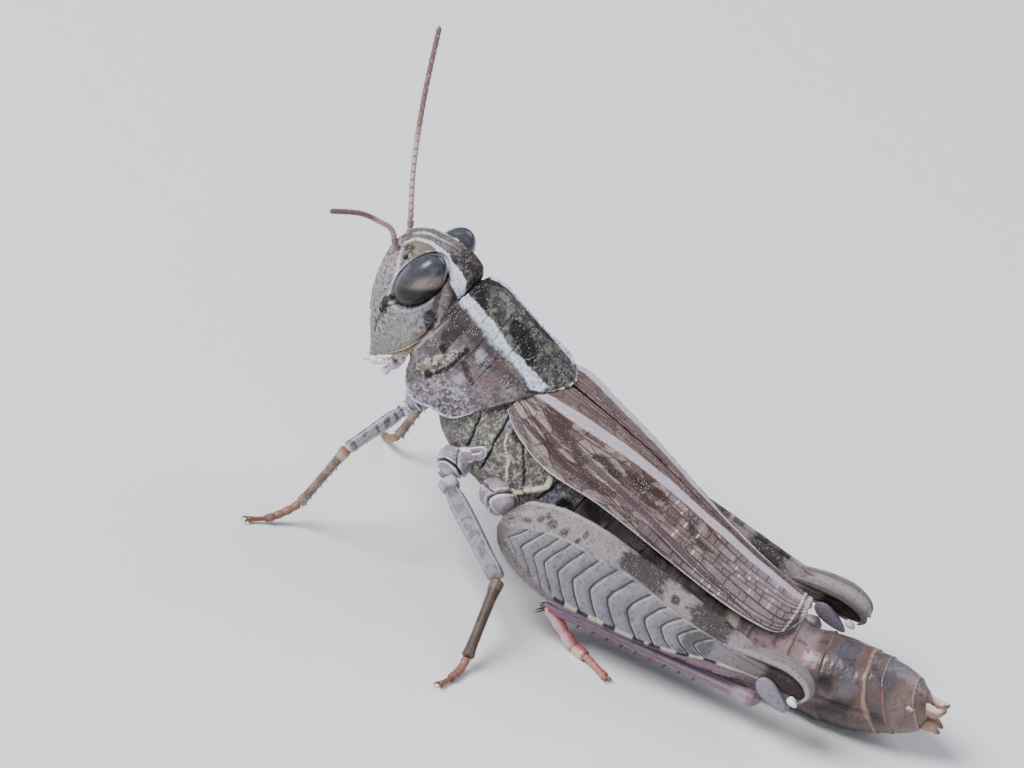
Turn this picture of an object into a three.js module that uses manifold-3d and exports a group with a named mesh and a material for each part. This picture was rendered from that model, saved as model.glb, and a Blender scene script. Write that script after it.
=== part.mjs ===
/**
 * A female Italian locust (a short-horned grasshopper), life size, standing on a flat floor.
 * Units are millimetres, +Z is up. The head points to -X, the animal's left side to -Y.
 *
 * The body is drawn straight, in body places (s, y, z): s runs along the body axis from the
 * neck to the tail, y to the animal's right and z up from the axis. bodyPoint bends them into
 * the pose. The legs and feelers are drawn from joint to joint, with heights from the floor.
 */
import * as THREE from 'three';
import { mergeVertices } from 'three/addons/utils/BufferGeometryUtils.js';
import Module from 'manifold-3d';

const wasm = await Module();
wasm.setup();

// ---------------------------------------------------------------- driving dimensions

/** The clear gap between neighbouring pieces. */
const GAP = 0.1;
/** Where the body axis passes, at the rear end of the pronotum. */
const AXIS_ANCHOR = { s: 7, x: 1.45, y: 0.46, z: 8.06 };
/** The axis's fall toward the tail and its turn about the vertical, in degrees, by station. */
const PITCH = [[-8, 24], [0, 26.7], [7, 26.7], [11, 19], [15, 16.5], [18, 12], [20.5, 3], [23, -4], [31, -6]];
const YAW = [[-8, -7.3], [6, -7.3], [12, -2], [31, -1.5]];
const AXIS_STEP = 0.25;

/** Head levels: height z, station of the face, station of the nape, half width. */
const HEAD = [
  [3.14, -0.95, -0.3, 0.4], [2.98, -1.45, -0.05, 0.85], [2.65, -2.08, 0.1, 1.2], [2.2, -2.78, 0.16, 1.5],
  [1.6, -3.24, 0.16, 1.74], [1.0, -3.44, 0.16, 1.88], [0.3, -3.42, 0.16, 2.0], [-0.6, -3.18, 0.18, 2.12],
  [-1.6, -2.82, 0.22, 2.12], [-2.6, -2.36, 0.22, 1.9], [-3.4, -1.78, 0.14, 1.5], [-3.9, -1.38, 0.0, 1.2],
];
/** Upper lip and jaws, by the same columns. */
const MOUTH = [
  [-3.98, -1.38, -0.05, 1.15], [-4.15, -1.28, -0.1, 1.0], [-4.32, -1.1, -0.2, 0.8],
  [-4.45, -0.9, -0.35, 0.45],
];
const EYE = { s: -1.38, y: 1.62, z: 1.04, long: 1.62, wide: 1.06, bulge: 0.98, lean: 2, splay: 6 };
const SOCKET = { s: -3.05, y: 0.75, z: 0.5 };
const FEELER_ROOT = 0.27;
const FEELER_TIP = 0.2;
/** Outer and inner palp routes in body places: s, distance from the middle, z. */
const PALPS_LEFT = [
  [[0.72, 1.15, -3.2], [0.5, 1.25, -3.5], [0.1, 1.25, -3.88], [-0.45, 1.15, -4.35]],
  [[0.76, 1.1, -3.2], [0.84, 1.0, -3.6], [0.78, 1.0, -4.15]],
];
const PALPS_RIGHT = [
  [[0.6, 0.95, -3.5], [0.62, 1.05, -4.4], [0.35, 1.15, -5.1], [-0.08, 1.15, -5.6]],
  [[0.66, 0.9, -3.5], [0.9, 0.85, -4.1], [0.85, 0.85, -4.7]],
];
/** Feeler routes from the socket on: x, y and height above the floor. */
const FEELER_LEFT = [[-7.75, -0.2, 14.5], [-8.15, -1.5, 15.3], [-8.8, -3.8, 16.45], [-9.75, -6.3, 17.2]];
const FEELER_RIGHT = [[-7.4, 2.5, 13.7], [-8.24, 3.0, 16.3], [-8.95, 3.5, 19.8], [-9.42, 4.0, 23.2]];

/** Pronotum stations: s, ridge z, shoulder y, shoulder z, side y, lower edge y, lower edge z. */
const PRONOTUM = [
  [0.3, 2.95, 1.8, 2.3, 2.4, 2.28, -1.2], [1.2, 3.2, 1.95, 2.35, 2.62, 2.5, -2.2],
  [2.6, 3.3, 2.0, 2.3, 2.78, 2.62, -2.9], [3.6, 3.32, 2.12, 2.24, 2.84, 2.72, -2.35],
  [4.6, 3.3, 2.26, 2.24, 2.88, 2.84, -1.7], [5.3, 3.25, 2.38, 2.24, 2.86, 2.9, 0.2],
  [5.9, 3.16, 2.48, 2.22, 2.72, 2.74, 1.5], [6.5, 3.06, 1.7, 2.5, 1.9, 1.9, 2.05],
  [6.98, 2.95, 0.5, 2.75, 0.6, 0.6, 2.35],
];
/** Breast between the front hips: s, half width, top z, bottom z. */
const BREAST = [[0.6, 1.1, 0, -2.5], [1.4, 1.6, 0, -3.05], [3.0, 1.9, 0, -3.5], [4.0, 1.8, 0, -3.3]];

/** Thorax and belly stations: s, half width, top z, bottom z. */
const THORAX = [
  [3.7, 1.7, 0.2, -3.3], [4.6, 2.45, 1.2, -3.8], [6.0, 2.85, 1.95, -4.05], [7.6, 3.0, 2.15, -4.05],
  [9.0, 2.9, 2.1, -4.0], [10.3, 2.6, 1.9, -4.0], [11.2, 2.4, 1.7, -4.0],
];
const BELLY = [
  [11.3, 2.35, 1.65, -4.0], [13, 2.4, 1.45, -4.25], [15, 2.42, 1.1, -4.5], [17, 2.4, 0.75, -4.6],
  [19, 2.3, 0.5, -4.55], [21, 2.15, 0.25, -4.35], [22.6, 1.98, -0.15, -4.3], [23.6, 1.9, -0.5, -4.3],
  [24.6, 2.02, -0.4, -4.4], [26, 2.02, -0.42, -4.42], [27.6, 1.85, -0.62, -4.15], [28.8, 1.5, -0.95, -3.8],
  [29.6, 1.0, -1.5, -3.45], [29.9, 0.55, -1.95, -3.15],
];
/** Where the belly is parted into its lengths. */
const BELLY_CUTS = [11.3, 15.4, 19.6, 23.4, 29.9];
const BELLY_NAMES = ['abdomen_front', 'abdomen_middle', 'abdomen_rear', 'abdomen_tip'];

/** Forewing stations: s, inner edge y, shoulder y, shoulder z, lower edge y, lower edge z. */
const WING = [
  [5.9, 0.12, 2.2, 1.95, 2.9, 0.9], [7.0, 0.08, 2.35, 2.5, 3.2, 0.6], [9.0, 0.08, 2.02, 2.82, 3.3, 0.45],
  [12.0, 0.08, 1.55, 2.86, 3.05, 0.75], [15.5, 0.08, 1.08, 2.5, 2.72, 0.62],
  [19.0, 0.08, 0.66, 1.95, 2.42, 0.25], [21.3, 0.08, 0.4, 1.4, 2.1, -0.15],
  [22.3, 0.08, 0.27, 1.08, 1.6, -0.3], [22.9, 0.1, 0.2, 0.88, 0.75, 0.1], [23.1, 0.12, 0.18, 0.8, 0.42, 0.4],
];
const WING_THICK = 0.5;
const WING_CROWN = 0.22;

/** Ovipositor blades: station, y and z of root and tip, and the root radius. */
const BLADES = {
  ovipositor_upper: { root: [29.7, 0.4, -2.25], bend: [30.25, 0.38, -2.3], tip: [30.7, 0.3, -1.95], r: 0.3 },
  ovipositor_lower: { root: [29.6, 0.4, -2.95], bend: [30.2, 0.38, -3.0], tip: [30.65, 0.3, -3.15], r: 0.3 },
};

/** Leg joints of the left side: x, y and height above the floor. */
const LEGS = {
  front: {
    station: 2.8, coxaRoot: [2.75, 1.75, -2.75], coxaRadius: 0.62, hip: [-4.11, -1.3, 6.84],
    knee: [-5.73, -4.3, 5.11], ankle: [-7.08, -3.8, 1.19],
    toes: [[-7.5, -4.15, 0.72], [-8.15, -4.75, 0.3], [-8.95, -5.45, 0.2]],
    thigh: 0.42, shin: 0.27, foot: 0.27,
  },
  middle: {
    station: 6.2, coxaRoot: [6.1, 2.1, -3.15], coxaRadius: 0.75, hip: [-1.14, -2.35, 4.7],
    knee: [3.3, -6.2, 2.93], ankle: [3.65, -10.0, 0.62],
    toes: [[3.62, -10.5, 0.3], [3.5, -11.4, 0.22], [3.2, -12.5, 0.2]],
    thigh: 0.5, shin: 0.3, foot: 0.27,
  },
};
/** Small changes of the right legs against their mirror image: x, y, height. */
const RIGHT_CHANGE = { front: [0.5, -0.5, 0], middle: [-0.8, 0.3, 0], hind: [0.5, 0.1, 0] };

/** Hind leg joints of the left side, and the sections of its thigh. */
const HIND = {
  station: 12, coxaRoot: [8.0, 2.35, -2.4], coxaRadius: 0.95, hip: [2.3, -3.55, 5.15],
  base: [2.25, -4.2, 4.75], knee: [18.55, -5.05, 3.05],
  heel: [16.6, -4.75, 1.7], ankle: [5.54, -4.25, 1.72],
  toes: [[6.5, -4.35, 1.05], [7.5, -4.5, 0.36], [8.3, -4.9, 0.3], [9.6, -5.8, 0.2]],
  lean: 14, shin: 0.34, foot: 0.32,
};
/** Thigh sections: share of its length, half depth up, half depth down, half width. */
const THIGH = [
  [0, 0.35, 0.35, 0.4], [0.025, 1.05, 1.0, 0.75], [0.07, 1.6, 1.5, 0.92], [0.14, 1.95, 1.95, 1.0],
  [0.24, 2.08, 2.16, 1.0], [0.4, 1.86, 1.98, 0.95], [0.58, 1.45, 1.55, 0.82], [0.73, 1.08, 1.16, 0.68],
  [0.83, 0.86, 0.95, 0.6], [0.9, 0.98, 1.05, 0.66], [0.96, 1.05, 1.12, 0.66], [1.0, 0.72, 0.8, 0.5],
];
const SPINES_PER_ROW = 8;
const SPINE = { length: 0.55, radius: 0.15, sink: 0.16, splay: 0.6 };

/** Colours of the living animal. */
const COLOUR = {
  head: 0x8f857b, eye: 0x4a4a55, feeler: 0x8d5a52, mouth: 0xb9aaa5, pronotum: 0x6d665c, thorax: 0x7c756b,
  wing: 0x7a6558, belly: 0x8a6f69, blade: 0xc9b193, leg: 0x91867c, shin: 0x9a8368, thigh: 0x9c968f,
  hindShin: 0xa8585c, rust: 0xa3634d,
};
const DULL = 0.7;
const GLOSSY = 0.25;

// ---------------------------------------------------------------- tools for shapes

/** The value of one column of keyed rows at a key, on a smooth curve through the rows. */
function valueAt(rows, key, column) {
  const last = rows.length - 1;
  const rising = rows[last][0] > rows[0][0] ? 1 : -1;
  let i = 0;
  while (i < last - 1 && (key - rows[i + 1][0]) * rising > 0) {
    i += 1;
  }
  const slope = (a, b) => (rows[b][column] - rows[a][column]) / (rows[b][0] - rows[a][0]);
  const span = rows[i + 1][0] - rows[i][0];
  const t = THREE.MathUtils.clamp((key - rows[i][0]) / span, 0, 1);
  const start = slope(Math.max(i - 1, 0), i + 1) * span;
  const end = slope(i, Math.min(i + 2, last)) * span;
  const a = rows[i][column];
  const b = rows[i + 1][column];
  return a + t * (start + t * (3 * (b - a) - 2 * start - end + t * (start + end - 2 * (b - a))));
}

/** The straight-line value of keyed rows at a key, eased at each row. */
function easedAt(rows, key) {
  const last = rows.length - 1;
  let i = 0;
  while (i < last - 1 && key > rows[i + 1][0]) {
    i += 1;
  }
  const t = THREE.MathUtils.smoothstep(key, rows[i][0], rows[i + 1][0]);
  return THREE.MathUtils.lerp(rows[i][1], rows[i + 1][1], t);
}

/** Directions of the body axis at a station: toward the tail, to the right and up. */
function directionsAt(station) {
  const pitch = THREE.MathUtils.degToRad(easedAt(PITCH, station));
  const yaw = THREE.MathUtils.degToRad(easedAt(YAW, station));
  const tailward = new THREE.Vector3(
    Math.cos(pitch) * Math.cos(yaw), Math.cos(pitch) * Math.sin(yaw), -Math.sin(pitch));
  const right = new THREE.Vector3(-Math.sin(yaw), Math.cos(yaw), 0);
  const up = new THREE.Vector3().crossVectors(tailward, right);
  return { tailward, right, up };
}

/** The point of the body axis at a station, walked from the anchor in short steps. */
function axisPoint(station) {
  const steps = Math.max(1, Math.ceil(Math.abs(station - AXIS_ANCHOR.s) / AXIS_STEP));
  const step = (station - AXIS_ANCHOR.s) / steps;
  const point = new THREE.Vector3(AXIS_ANCHOR.x, AXIS_ANCHOR.y, AXIS_ANCHOR.z);
  for (let i = 0; i < steps; i += 1) {
    point.addScaledVector(directionsAt(AXIS_ANCHOR.s + (i + 0.5) * step).tailward, step);
  }
  return point;
}

/** A body place (s, y, z) in the pose. */
function bodyPoint(station, y, z) {
  const { right, up } = directionsAt(station);
  return axisPoint(station).addScaledVector(right, y).addScaledVector(up, z);
}

/** A point mirrored in the body's middle plane at a station. */
function mirrored(point, station) {
  const { right } = directionsAt(station);
  const offset = point.clone().sub(axisPoint(station)).dot(right);
  return point.clone().addScaledVector(right, -2 * offset);
}

/** Twice the signed area of a triangle mesh's volume, times three. */
function signedVolume(place, index) {
  const corner = [0, 1, 2].map(() => new THREE.Vector3());
  let sum = 0;
  for (let i = 0; i < index.length; i += 3) {
    corner.forEach((c, k) => c.fromBufferAttribute(place, index[i + k]));
    sum += corner[0].dot(corner[1].clone().cross(corner[2]));
  }
  return sum;
}

/** A closed three.js geometry as a manifold solid, with nothing of it below the floor. */
function solidOf(geometry) {
  const bare = geometry.clone();
  bare.deleteAttribute('normal');
  bare.deleteAttribute('uv');
  const place = bare.attributes.position;
  for (let i = 0; i < place.count; i += 1) {
    place.setZ(i, Math.max(place.getZ(i), 0));
  }
  const merged = mergeVertices(bare, 1e-4);
  const index = Array.from(merged.index.array);
  if (signedVolume(merged.attributes.position, index) < 0) {
    index.reverse();
  }
  const mesh = new wasm.Mesh({
    numProp: 3,
    vertProperties: new Float32Array(merged.attributes.position.array),
    triVerts: new Uint32Array(index),
  });
  return new wasm.Manifold(mesh);
}

/** A tube whose ring points come from pointAt(share of length, share of turn). */
function loft(around, along, pointAt) {
  const geometry = new THREE.CylinderGeometry(1, 1, 1, around, along);
  const place = geometry.attributes.position;
  for (let i = 0; i < place.count; i += 1) {
    const t = 0.5 - place.getY(i);
    const onRim = Math.hypot(place.getX(i), place.getZ(i)) > 0.5;
    const turn = Math.atan2(place.getX(i), place.getZ(i)) / (2 * Math.PI);
    const step = (Math.round(turn * around) + around) % around;
    const point = new THREE.Vector3();
    if (onRim) {
      point.copy(pointAt(t, step / around));
    } else {
      for (let k = 0; k < around; k += 1) {
        point.addScaledVector(pointAt(t, k / around), 1 / around);
      }
    }
    place.setXYZ(i, point.x, point.y, point.z);
  }
  return solidOf(geometry);
}

/** A point of a rounded-square section: across and up shares for a turn, by its power. */
function rounded(turn, power) {
  const angle = 2 * Math.PI * turn;
  const bend = (value) => Math.sign(value) * Math.abs(value) ** (2 / power);
  return [bend(Math.sin(angle)), bend(Math.cos(angle))];
}

/** A length of the body from rows of s, half width, top and bottom. */
function trunk(rows, from, to, faces, grow = 0) {
  return loft(faces[0], faces[1], (t, turn) => {
    const s = THREE.MathUtils.lerp(from - grow, to + grow, t);
    const [across, up] = rounded(turn, 2.2);
    const top = valueAt(rows, s, 2) + grow;
    const bottom = valueAt(rows, s, 3) - grow;
    const width = valueAt(rows, s, 1) + grow;
    return bodyPoint(s, across * width, (top + bottom) / 2 + up * (top - bottom) / 2);
  });
}

/** A round tube along a curve, its radius given by the share of its length. */
function tube(points, radiusAt, faces) {
  const curve = new THREE.CatmullRomCurve3(points);
  const { normals, binormals } = curve.computeFrenetFrames(faces[1]);
  return loft(faces[0], faces[1], (t, turn) => {
    const ring = Math.round(t * faces[1]);
    const angle = 2 * Math.PI * turn;
    const radius = radiusAt(t);
    return curve.getPointAt(t).addScaledVector(normals[ring], Math.sin(angle) * radius)
      .addScaledVector(binormals[ring], Math.cos(angle) * radius);
  });
}

/** A round limb between two joints, from rows of share and radius, grown at need. */
function limb(from, to, rows, faces, grow = 0) {
  const ahead = to.clone().sub(from).normalize();
  const start = from.clone().addScaledVector(ahead, -grow);
  const end = to.clone().addScaledVector(ahead, grow);
  const middle = start.clone().lerp(end, 0.5);
  return tube([start, middle, end], (t) => valueAt(rows, t, 1) + grow, faces);
}

const grasshopper = new THREE.Group();

/** Adds a solid to the animal as a named mesh of its own colour. */
function add(name, solid, colour, roughness = DULL) {
  const { vertProperties, triVerts } = solid.getMesh();
  const geometry = new THREE.BufferGeometry();
  geometry.setAttribute('position', new THREE.BufferAttribute(new Float32Array(vertProperties), 3));
  geometry.setIndex(new THREE.BufferAttribute(new Uint32Array(triVerts), 1));
  geometry.computeVertexNormals();
  const finish = new THREE.MeshStandardMaterial({ color: colour, roughness, metalness: 0 });
  const mesh = new THREE.Mesh(geometry, finish);
  mesh.name = name;
  grasshopper.add(mesh);
}

/** A solid less all the others, without the crumbs that the cuts leave. */
function less(solid, others) {
  const left = others.reduce((rest, other) => rest.subtract(other), solid);
  return left.decompose().reduce((best, piece) => (piece.volume() > best.volume() ? piece : best));
}

// ---------------------------------------------------------------- head

/** The head capsule, from the crown down to the edge of the mouth. */
function headShape() {
  const top = HEAD[0][0];
  const bottom = HEAD[HEAD.length - 1][0];
  return loft(14, 10, (t, turn) => {
    const z = THREE.MathUtils.lerp(top, bottom, t);
    const front = valueAt(HEAD, z, 1);
    const nape = valueAt(HEAD, z, 2);
    const [across, back] = rounded(turn, 2.25);
    const narrowing = 1 - 0.16 * Math.max(0, -back);
    const s = (front + nape) / 2 + back * (nape - front) / 2;
    return bodyPoint(s, across * narrowing * valueAt(HEAD, z, 3), z);
  });
}

/** One compound eye, an oval ball whose long axis leans and whose face splays forward. */
function eyeShape(side, grow = 0) {
  const geometry = new THREE.SphereGeometry(1, 12, 10);
  const place = geometry.attributes.position;
  const lean = THREE.MathUtils.degToRad(EYE.lean);
  const splay = THREE.MathUtils.degToRad(EYE.splay);
  for (let i = 0; i < place.count; i += 1) {
    const wide = place.getX(i) * (EYE.wide + grow);
    const bulge = place.getZ(i) * (EYE.bulge + grow);
    const long = place.getY(i) * (EYE.long + grow);
    const s = wide * Math.cos(lean) - long * Math.sin(lean);
    const z = wide * Math.sin(lean) + long * Math.cos(lean);
    const forward = s * Math.cos(splay) - bulge * Math.sin(splay);
    const out = s * Math.sin(splay) + bulge * Math.cos(splay);
    const point = bodyPoint(EYE.s + forward, side * (EYE.y + out), EYE.z + z);
    place.setXYZ(i, point.x, point.y, point.z);
  }
  return solidOf(geometry);
}

/** A feeler from its socket along its route, in slightly beaded joints. */
function feelerShape(side, route, grow = 0) {
  const root = bodyPoint(SOCKET.s, side * SOCKET.y, SOCKET.z);
  const points = [root, ...route.map((p) => new THREE.Vector3(...p))];
  return tube(points, (t) => THREE.MathUtils.lerp(FEELER_ROOT, FEELER_TIP, t) + grow, [6, 15]);
}

/** The upper lip and the jaws under the head capsule. */
function mouthShape() {
  const last = MOUTH.length - 1;
  return loft(12, last, (t, turn) => {
    const z = THREE.MathUtils.lerp(MOUTH[0][0], MOUTH[last][0], t);
    const [across, back] = rounded(turn, 2.3);
    const front = valueAt(MOUTH, z, 1);
    const rear = valueAt(MOUTH, z, 2);
    return bodyPoint((front + rear) / 2 + back * (rear - front) / 2, across * valueAt(MOUTH, z, 3), z);
  });
}

/** The long outer palp and the short inner palp of one side, joined at their root. */
function palpShape(side) {
  const [outer, inner] = side < 0 ? PALPS_LEFT : PALPS_RIGHT;
  const route = (places) => places.map(([s, y, z]) => bodyPoint(s, side * y, z));
  const long = tube(route(outer), () => 0.22, [6, 7]);
  const short = tube(route(inner), (t) => 0.2 + 0.05 * t, [6, 5]);
  return long.add(short);
}

// ---------------------------------------------------------------- thorax and wings

/** The saddle of the pronotum with the breast between the front hips. */
function pronotumShape(grow = 0) {
  const first = PRONOTUM[0][0] - grow;
  const last = PRONOTUM[PRONOTUM.length - 1][0] + grow;
  const saddle = loft(12, 11, (t, turn) => {
    const s = THREE.MathUtils.lerp(first, last, t);
    const columns = [1, 2, 3, 4, 5, 6].map((column) => valueAt(PRONOTUM, s, column));
    const [ridge, shoulder, shoulderZ, flank, edge, edgeZ] = columns;
    const half = [
      [0, ridge + grow], [shoulder * 0.5, (ridge + shoulderZ) / 2 + 0.12 + grow],
      [shoulder + grow, shoulderZ + grow], [flank + grow, (shoulderZ * 2 + edgeZ) / 3],
      [flank + grow, (shoulderZ + edgeZ * 3) / 4], [edge + grow, edgeZ - grow], [0, edgeZ - grow],
    ];
    const step = Math.round(turn * 12);
    const [y, z] = step <= 6 ? half[step] : half[12 - step];
    return bodyPoint(s, step <= 6 ? y : -y, z);
  });
  return saddle.add(trunk(BREAST, BREAST[0][0], BREAST[3][0], [12, 4], grow));
}

/** One forewing: a roof of one crowned field and one steep side field, 0.5 mm thick. */
function wingShape(side, grow = 0) {
  const first = WING[0][0] - grow;
  const last = WING[WING.length - 1][0] + grow;
  return loft(14, 11, (t, turn) => {
    const s = THREE.MathUtils.lerp(first, last, t);
    const [inner, shoulder, shoulderZ, edge, edgeZ] = [1, 2, 3, 4, 5].map((c) => valueAt(WING, s, c));
    const fall = Math.min(WING_THICK, 0.3 + 0.3 * (last - s));
    const crown = shoulderZ + WING_CROWN;
    const innerY = Math.min(inner - grow * 0.4, shoulder);
    const bulge = 0.16 * (shoulderZ - edgeZ);
    const outer = [
      [innerY, crown + grow],
      [(innerY + shoulder) / 2, crown - 0.03 + grow],
      [shoulder + grow, shoulderZ + grow],
      [shoulder + (edge - shoulder) * 0.34 + bulge + grow, shoulderZ + (edgeZ - shoulderZ) * 0.3],
      [shoulder + (edge - shoulder) * 0.68 + bulge + grow, shoulderZ + (edgeZ - shoulderZ) * 0.65],
      [edge + grow, edgeZ], [edge - fall * 0.5 + grow, edgeZ - 0.08 - grow],
    ];
    const innerSide = outer.map(([y, z], i) => {
      const sideways = i < 2 ? 0 : i === 2 ? 0.7 : 1;
      const down = i < 2 ? 1 : i === 2 ? 0.75 : 0.25;
      const thick = fall + 2 * grow;
      return [Math.max(y - sideways * thick, innerY), z - down * thick];
    });
    const step = Math.round(turn * 14) % 14;
    const [y, z] = step < 7 ? outer[step] : innerSide[13 - step];
    return bodyPoint(s, side * y, z);
  });
}

// ---------------------------------------------------------------- legs

/** The joints of a leg on one side, as points. */
function jointsOf(leg, name, side) {
  const change = new THREE.Vector3(...RIGHT_CHANGE[name]);
  const place = (joint, share) => {
    const left = new THREE.Vector3(...joint);
    return side < 0 ? left : mirrored(left, leg.station).addScaledVector(change, share);
  };
  const [s, y, z] = leg.coxaRoot;
  return {
    root: bodyPoint(s, side * y, z),
    hip: place(leg.hip, 0),
    knee: place(leg.knee, 0.5),
    ankle: place(leg.ankle, 1),
    toes: leg.toes.map((toe) => place(toe, 1)),
    heel: leg.heel && place(leg.heel, 1),
    base: leg.base && place(leg.base, 0),
  };
}

/** The foot: pads on the floor and a spread pair of claws at its end. */
function footShape(joints, radius, grow = 0) {
  const waist = (t) => 1 - 0.18 * Math.abs(Math.sin(3 * Math.PI * t));
  return tube([joints.ankle, ...joints.toes], (t) => radius * waist(t) + grow, [6, 10]);
}

/** A front or middle leg in four nodes, each cut clear of the one before. */
function walkingLeg(name, side, suffix, body) {
  const leg = LEGS[name];
  const joints = jointsOf(leg, name, side);
  const coxaRows = [[0, leg.coxaRadius], [0.5, leg.coxaRadius * 0.95], [1, leg.thigh * 1.05]];
  const coxa = (grow) => limb(joints.root, joints.hip, coxaRows, [10, 4], grow);
  const thighRows = [[0, leg.thigh * 0.85], [0.3, leg.thigh], [0.8, leg.thigh * 0.75], [1, leg.thigh * 0.8]];
  const thigh = (grow) => limb(joints.hip, joints.knee, thighRows, [8, 7], grow);
  const shinRows = [[0, leg.shin * 1.1], [0.15, leg.shin], [0.85, leg.shin * 0.9], [1, leg.shin * 1.1]];
  const shin = (grow) => limb(joints.knee, joints.ankle, shinRows, [8, 6], grow);
  add(`coxa_${name}_${suffix}`, less(coxa(0), body), COLOUR.leg);
  add(`femur_${name}_${suffix}`, less(thigh(0), [...body, coxa(GAP)]), COLOUR.leg);
  add(`tibia_${name}_${suffix}`, less(shin(0), [thigh(GAP)]), COLOUR.shin);
  add(`tarsus_${name}_${suffix}`, less(footShape(joints, leg.foot), [shin(GAP)]), COLOUR.rust);
  return [coxa(GAP), thigh(GAP)];
}

/** The big thigh of a hind leg: a deep flat club with a narrow neck and a round knee. */
function thighShape(joints, side, grow = 0) {
  const ahead = joints.knee.clone().sub(joints.base).normalize();
  const lean = THREE.MathUtils.degToRad(HIND.lean);
  const up = new THREE.Vector3(0, -side * Math.sin(lean), Math.cos(lean));
  up.addScaledVector(ahead, -up.dot(ahead)).normalize();
  const out = new THREE.Vector3().crossVectors(ahead, up);
  const length = joints.knee.distanceTo(joints.base);
  return loft(12, 15, (t, turn) => {
    const share = 0.5 - 0.5 * Math.cos(Math.PI * t);
    const blend = THREE.MathUtils.lerp(share, t, 0.6);
    const [across, rise] = rounded(turn, 2);
    const depth = (rise > 0 ? valueAt(THIGH, blend, 1) : valueAt(THIGH, blend, 2)) + grow;
    const width = valueAt(THIGH, blend, 3) + grow;
    return joints.base.clone().addScaledVector(ahead, blend * length + (2 * t - 1) * grow)
      .addScaledVector(up, rise * depth).addScaledVector(out, across * width);
  });
}

/** The hind shin, folded under the thigh, with its two rows of spines. */
function hindShinShape(joints, side, grow = 0) {
  const rows = [[0, 0.42], [0.08, HIND.shin], [0.8, HIND.shin], [1, 0.4]];
  const bar = limb(joints.heel, joints.ankle, rows, [8, 10], grow);
  if (grow > 0) {
    return bar;
  }
  const spines = [];
  const ahead = joints.ankle.clone().sub(joints.heel);
  for (let row = -1; row <= 1; row += 2) {
    for (let i = 0; i < SPINES_PER_ROW; i += 1) {
      const share = 0.3 + 0.66 * (i / (SPINES_PER_ROW - 1));
      const root = joints.heel.clone().addScaledVector(ahead, share);
      const point = new THREE.Vector3(-0.35, row * SPINE.splay, -1).normalize();
      const cone = new THREE.ConeGeometry(SPINE.radius, SPINE.length, 4);
      cone.applyQuaternion(new THREE.Quaternion().setFromUnitVectors(new THREE.Vector3(0, 1, 0), point));
      root.addScaledVector(point, HIND.shin + SPINE.length / 2 - SPINE.sink);
      cone.translate(root.x, root.y, root.z);
      spines.push(solidOf(cone));
    }
  }
  return spines.reduce((sum, spine) => sum.add(spine), bar);
}

/** A hind leg in four nodes. */
function hindLeg(side, suffix, body) {
  const joints = jointsOf(HIND, 'hind', side);
  const coxaRows = [[0, HIND.coxaRadius], [0.6, HIND.coxaRadius * 0.85], [1, HIND.coxaRadius * 0.5]];
  const coxa = (grow) => limb(joints.root, joints.hip, coxaRows, [10, 4], grow);
  const thigh = (grow) => thighShape(joints, side, grow);
  const shin = (grow) => hindShinShape(joints, side, grow);
  add(`coxa_hind_${suffix}`, less(coxa(0), [...body, thigh(GAP)]), COLOUR.leg);
  add(`femur_hind_${suffix}`, thigh(0), COLOUR.thigh);
  add(`tibia_hind_${suffix}`, less(shin(0), [thigh(GAP)]), COLOUR.hindShin);
  add(`tarsus_hind_${suffix}`, less(footShape(joints, HIND.foot), [shin(GAP), thigh(GAP)]), COLOUR.rust);
  return [coxa(GAP), thigh(GAP), shin(GAP)];
}

// ---------------------------------------------------------------- the whole animal

/** Two curved blades side by side at the tail end. */
function bladeShape({ root, bend, tip, r }) {
  const pair = [-1, 1].map((side) => {
    const points = [root, bend, tip].map(([s, y, z]) => bodyPoint(s, side * y, z));
    return tube(points, (t) => THREE.MathUtils.lerp(r, 0.16, t), [8, 5]);
  });
  return pair[0].add(pair[1]);
}

/** Head, eyes, feelers and mouthparts. */
function buildHead() {
  const eyes = [-1, 1].map((side) => eyeShape(side, GAP));
  const feelers = [feelerShape(-1, FEELER_LEFT, GAP), feelerShape(1, FEELER_RIGHT, GAP)];
  add('head', less(headShape(), [pronotumShape(GAP), ...eyes, ...feelers]), COLOUR.head);
  add('eye_left', eyeShape(-1), COLOUR.eye, GLOSSY);
  add('eye_right', eyeShape(1), COLOUR.eye, GLOSSY);
  add('antenna_left', feelerShape(-1, FEELER_LEFT), COLOUR.feeler);
  add('antenna_right', feelerShape(1, FEELER_RIGHT), COLOUR.feeler);
  add('mouthparts', less(mouthShape(), [pronotumShape(GAP)]), COLOUR.mouth);
  add('palps_left', less(palpShape(-1), [pronotumShape(GAP)]), COLOUR.mouth);
  add('palps_right', less(palpShape(1), [pronotumShape(GAP)]), COLOUR.mouth);
}

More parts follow.
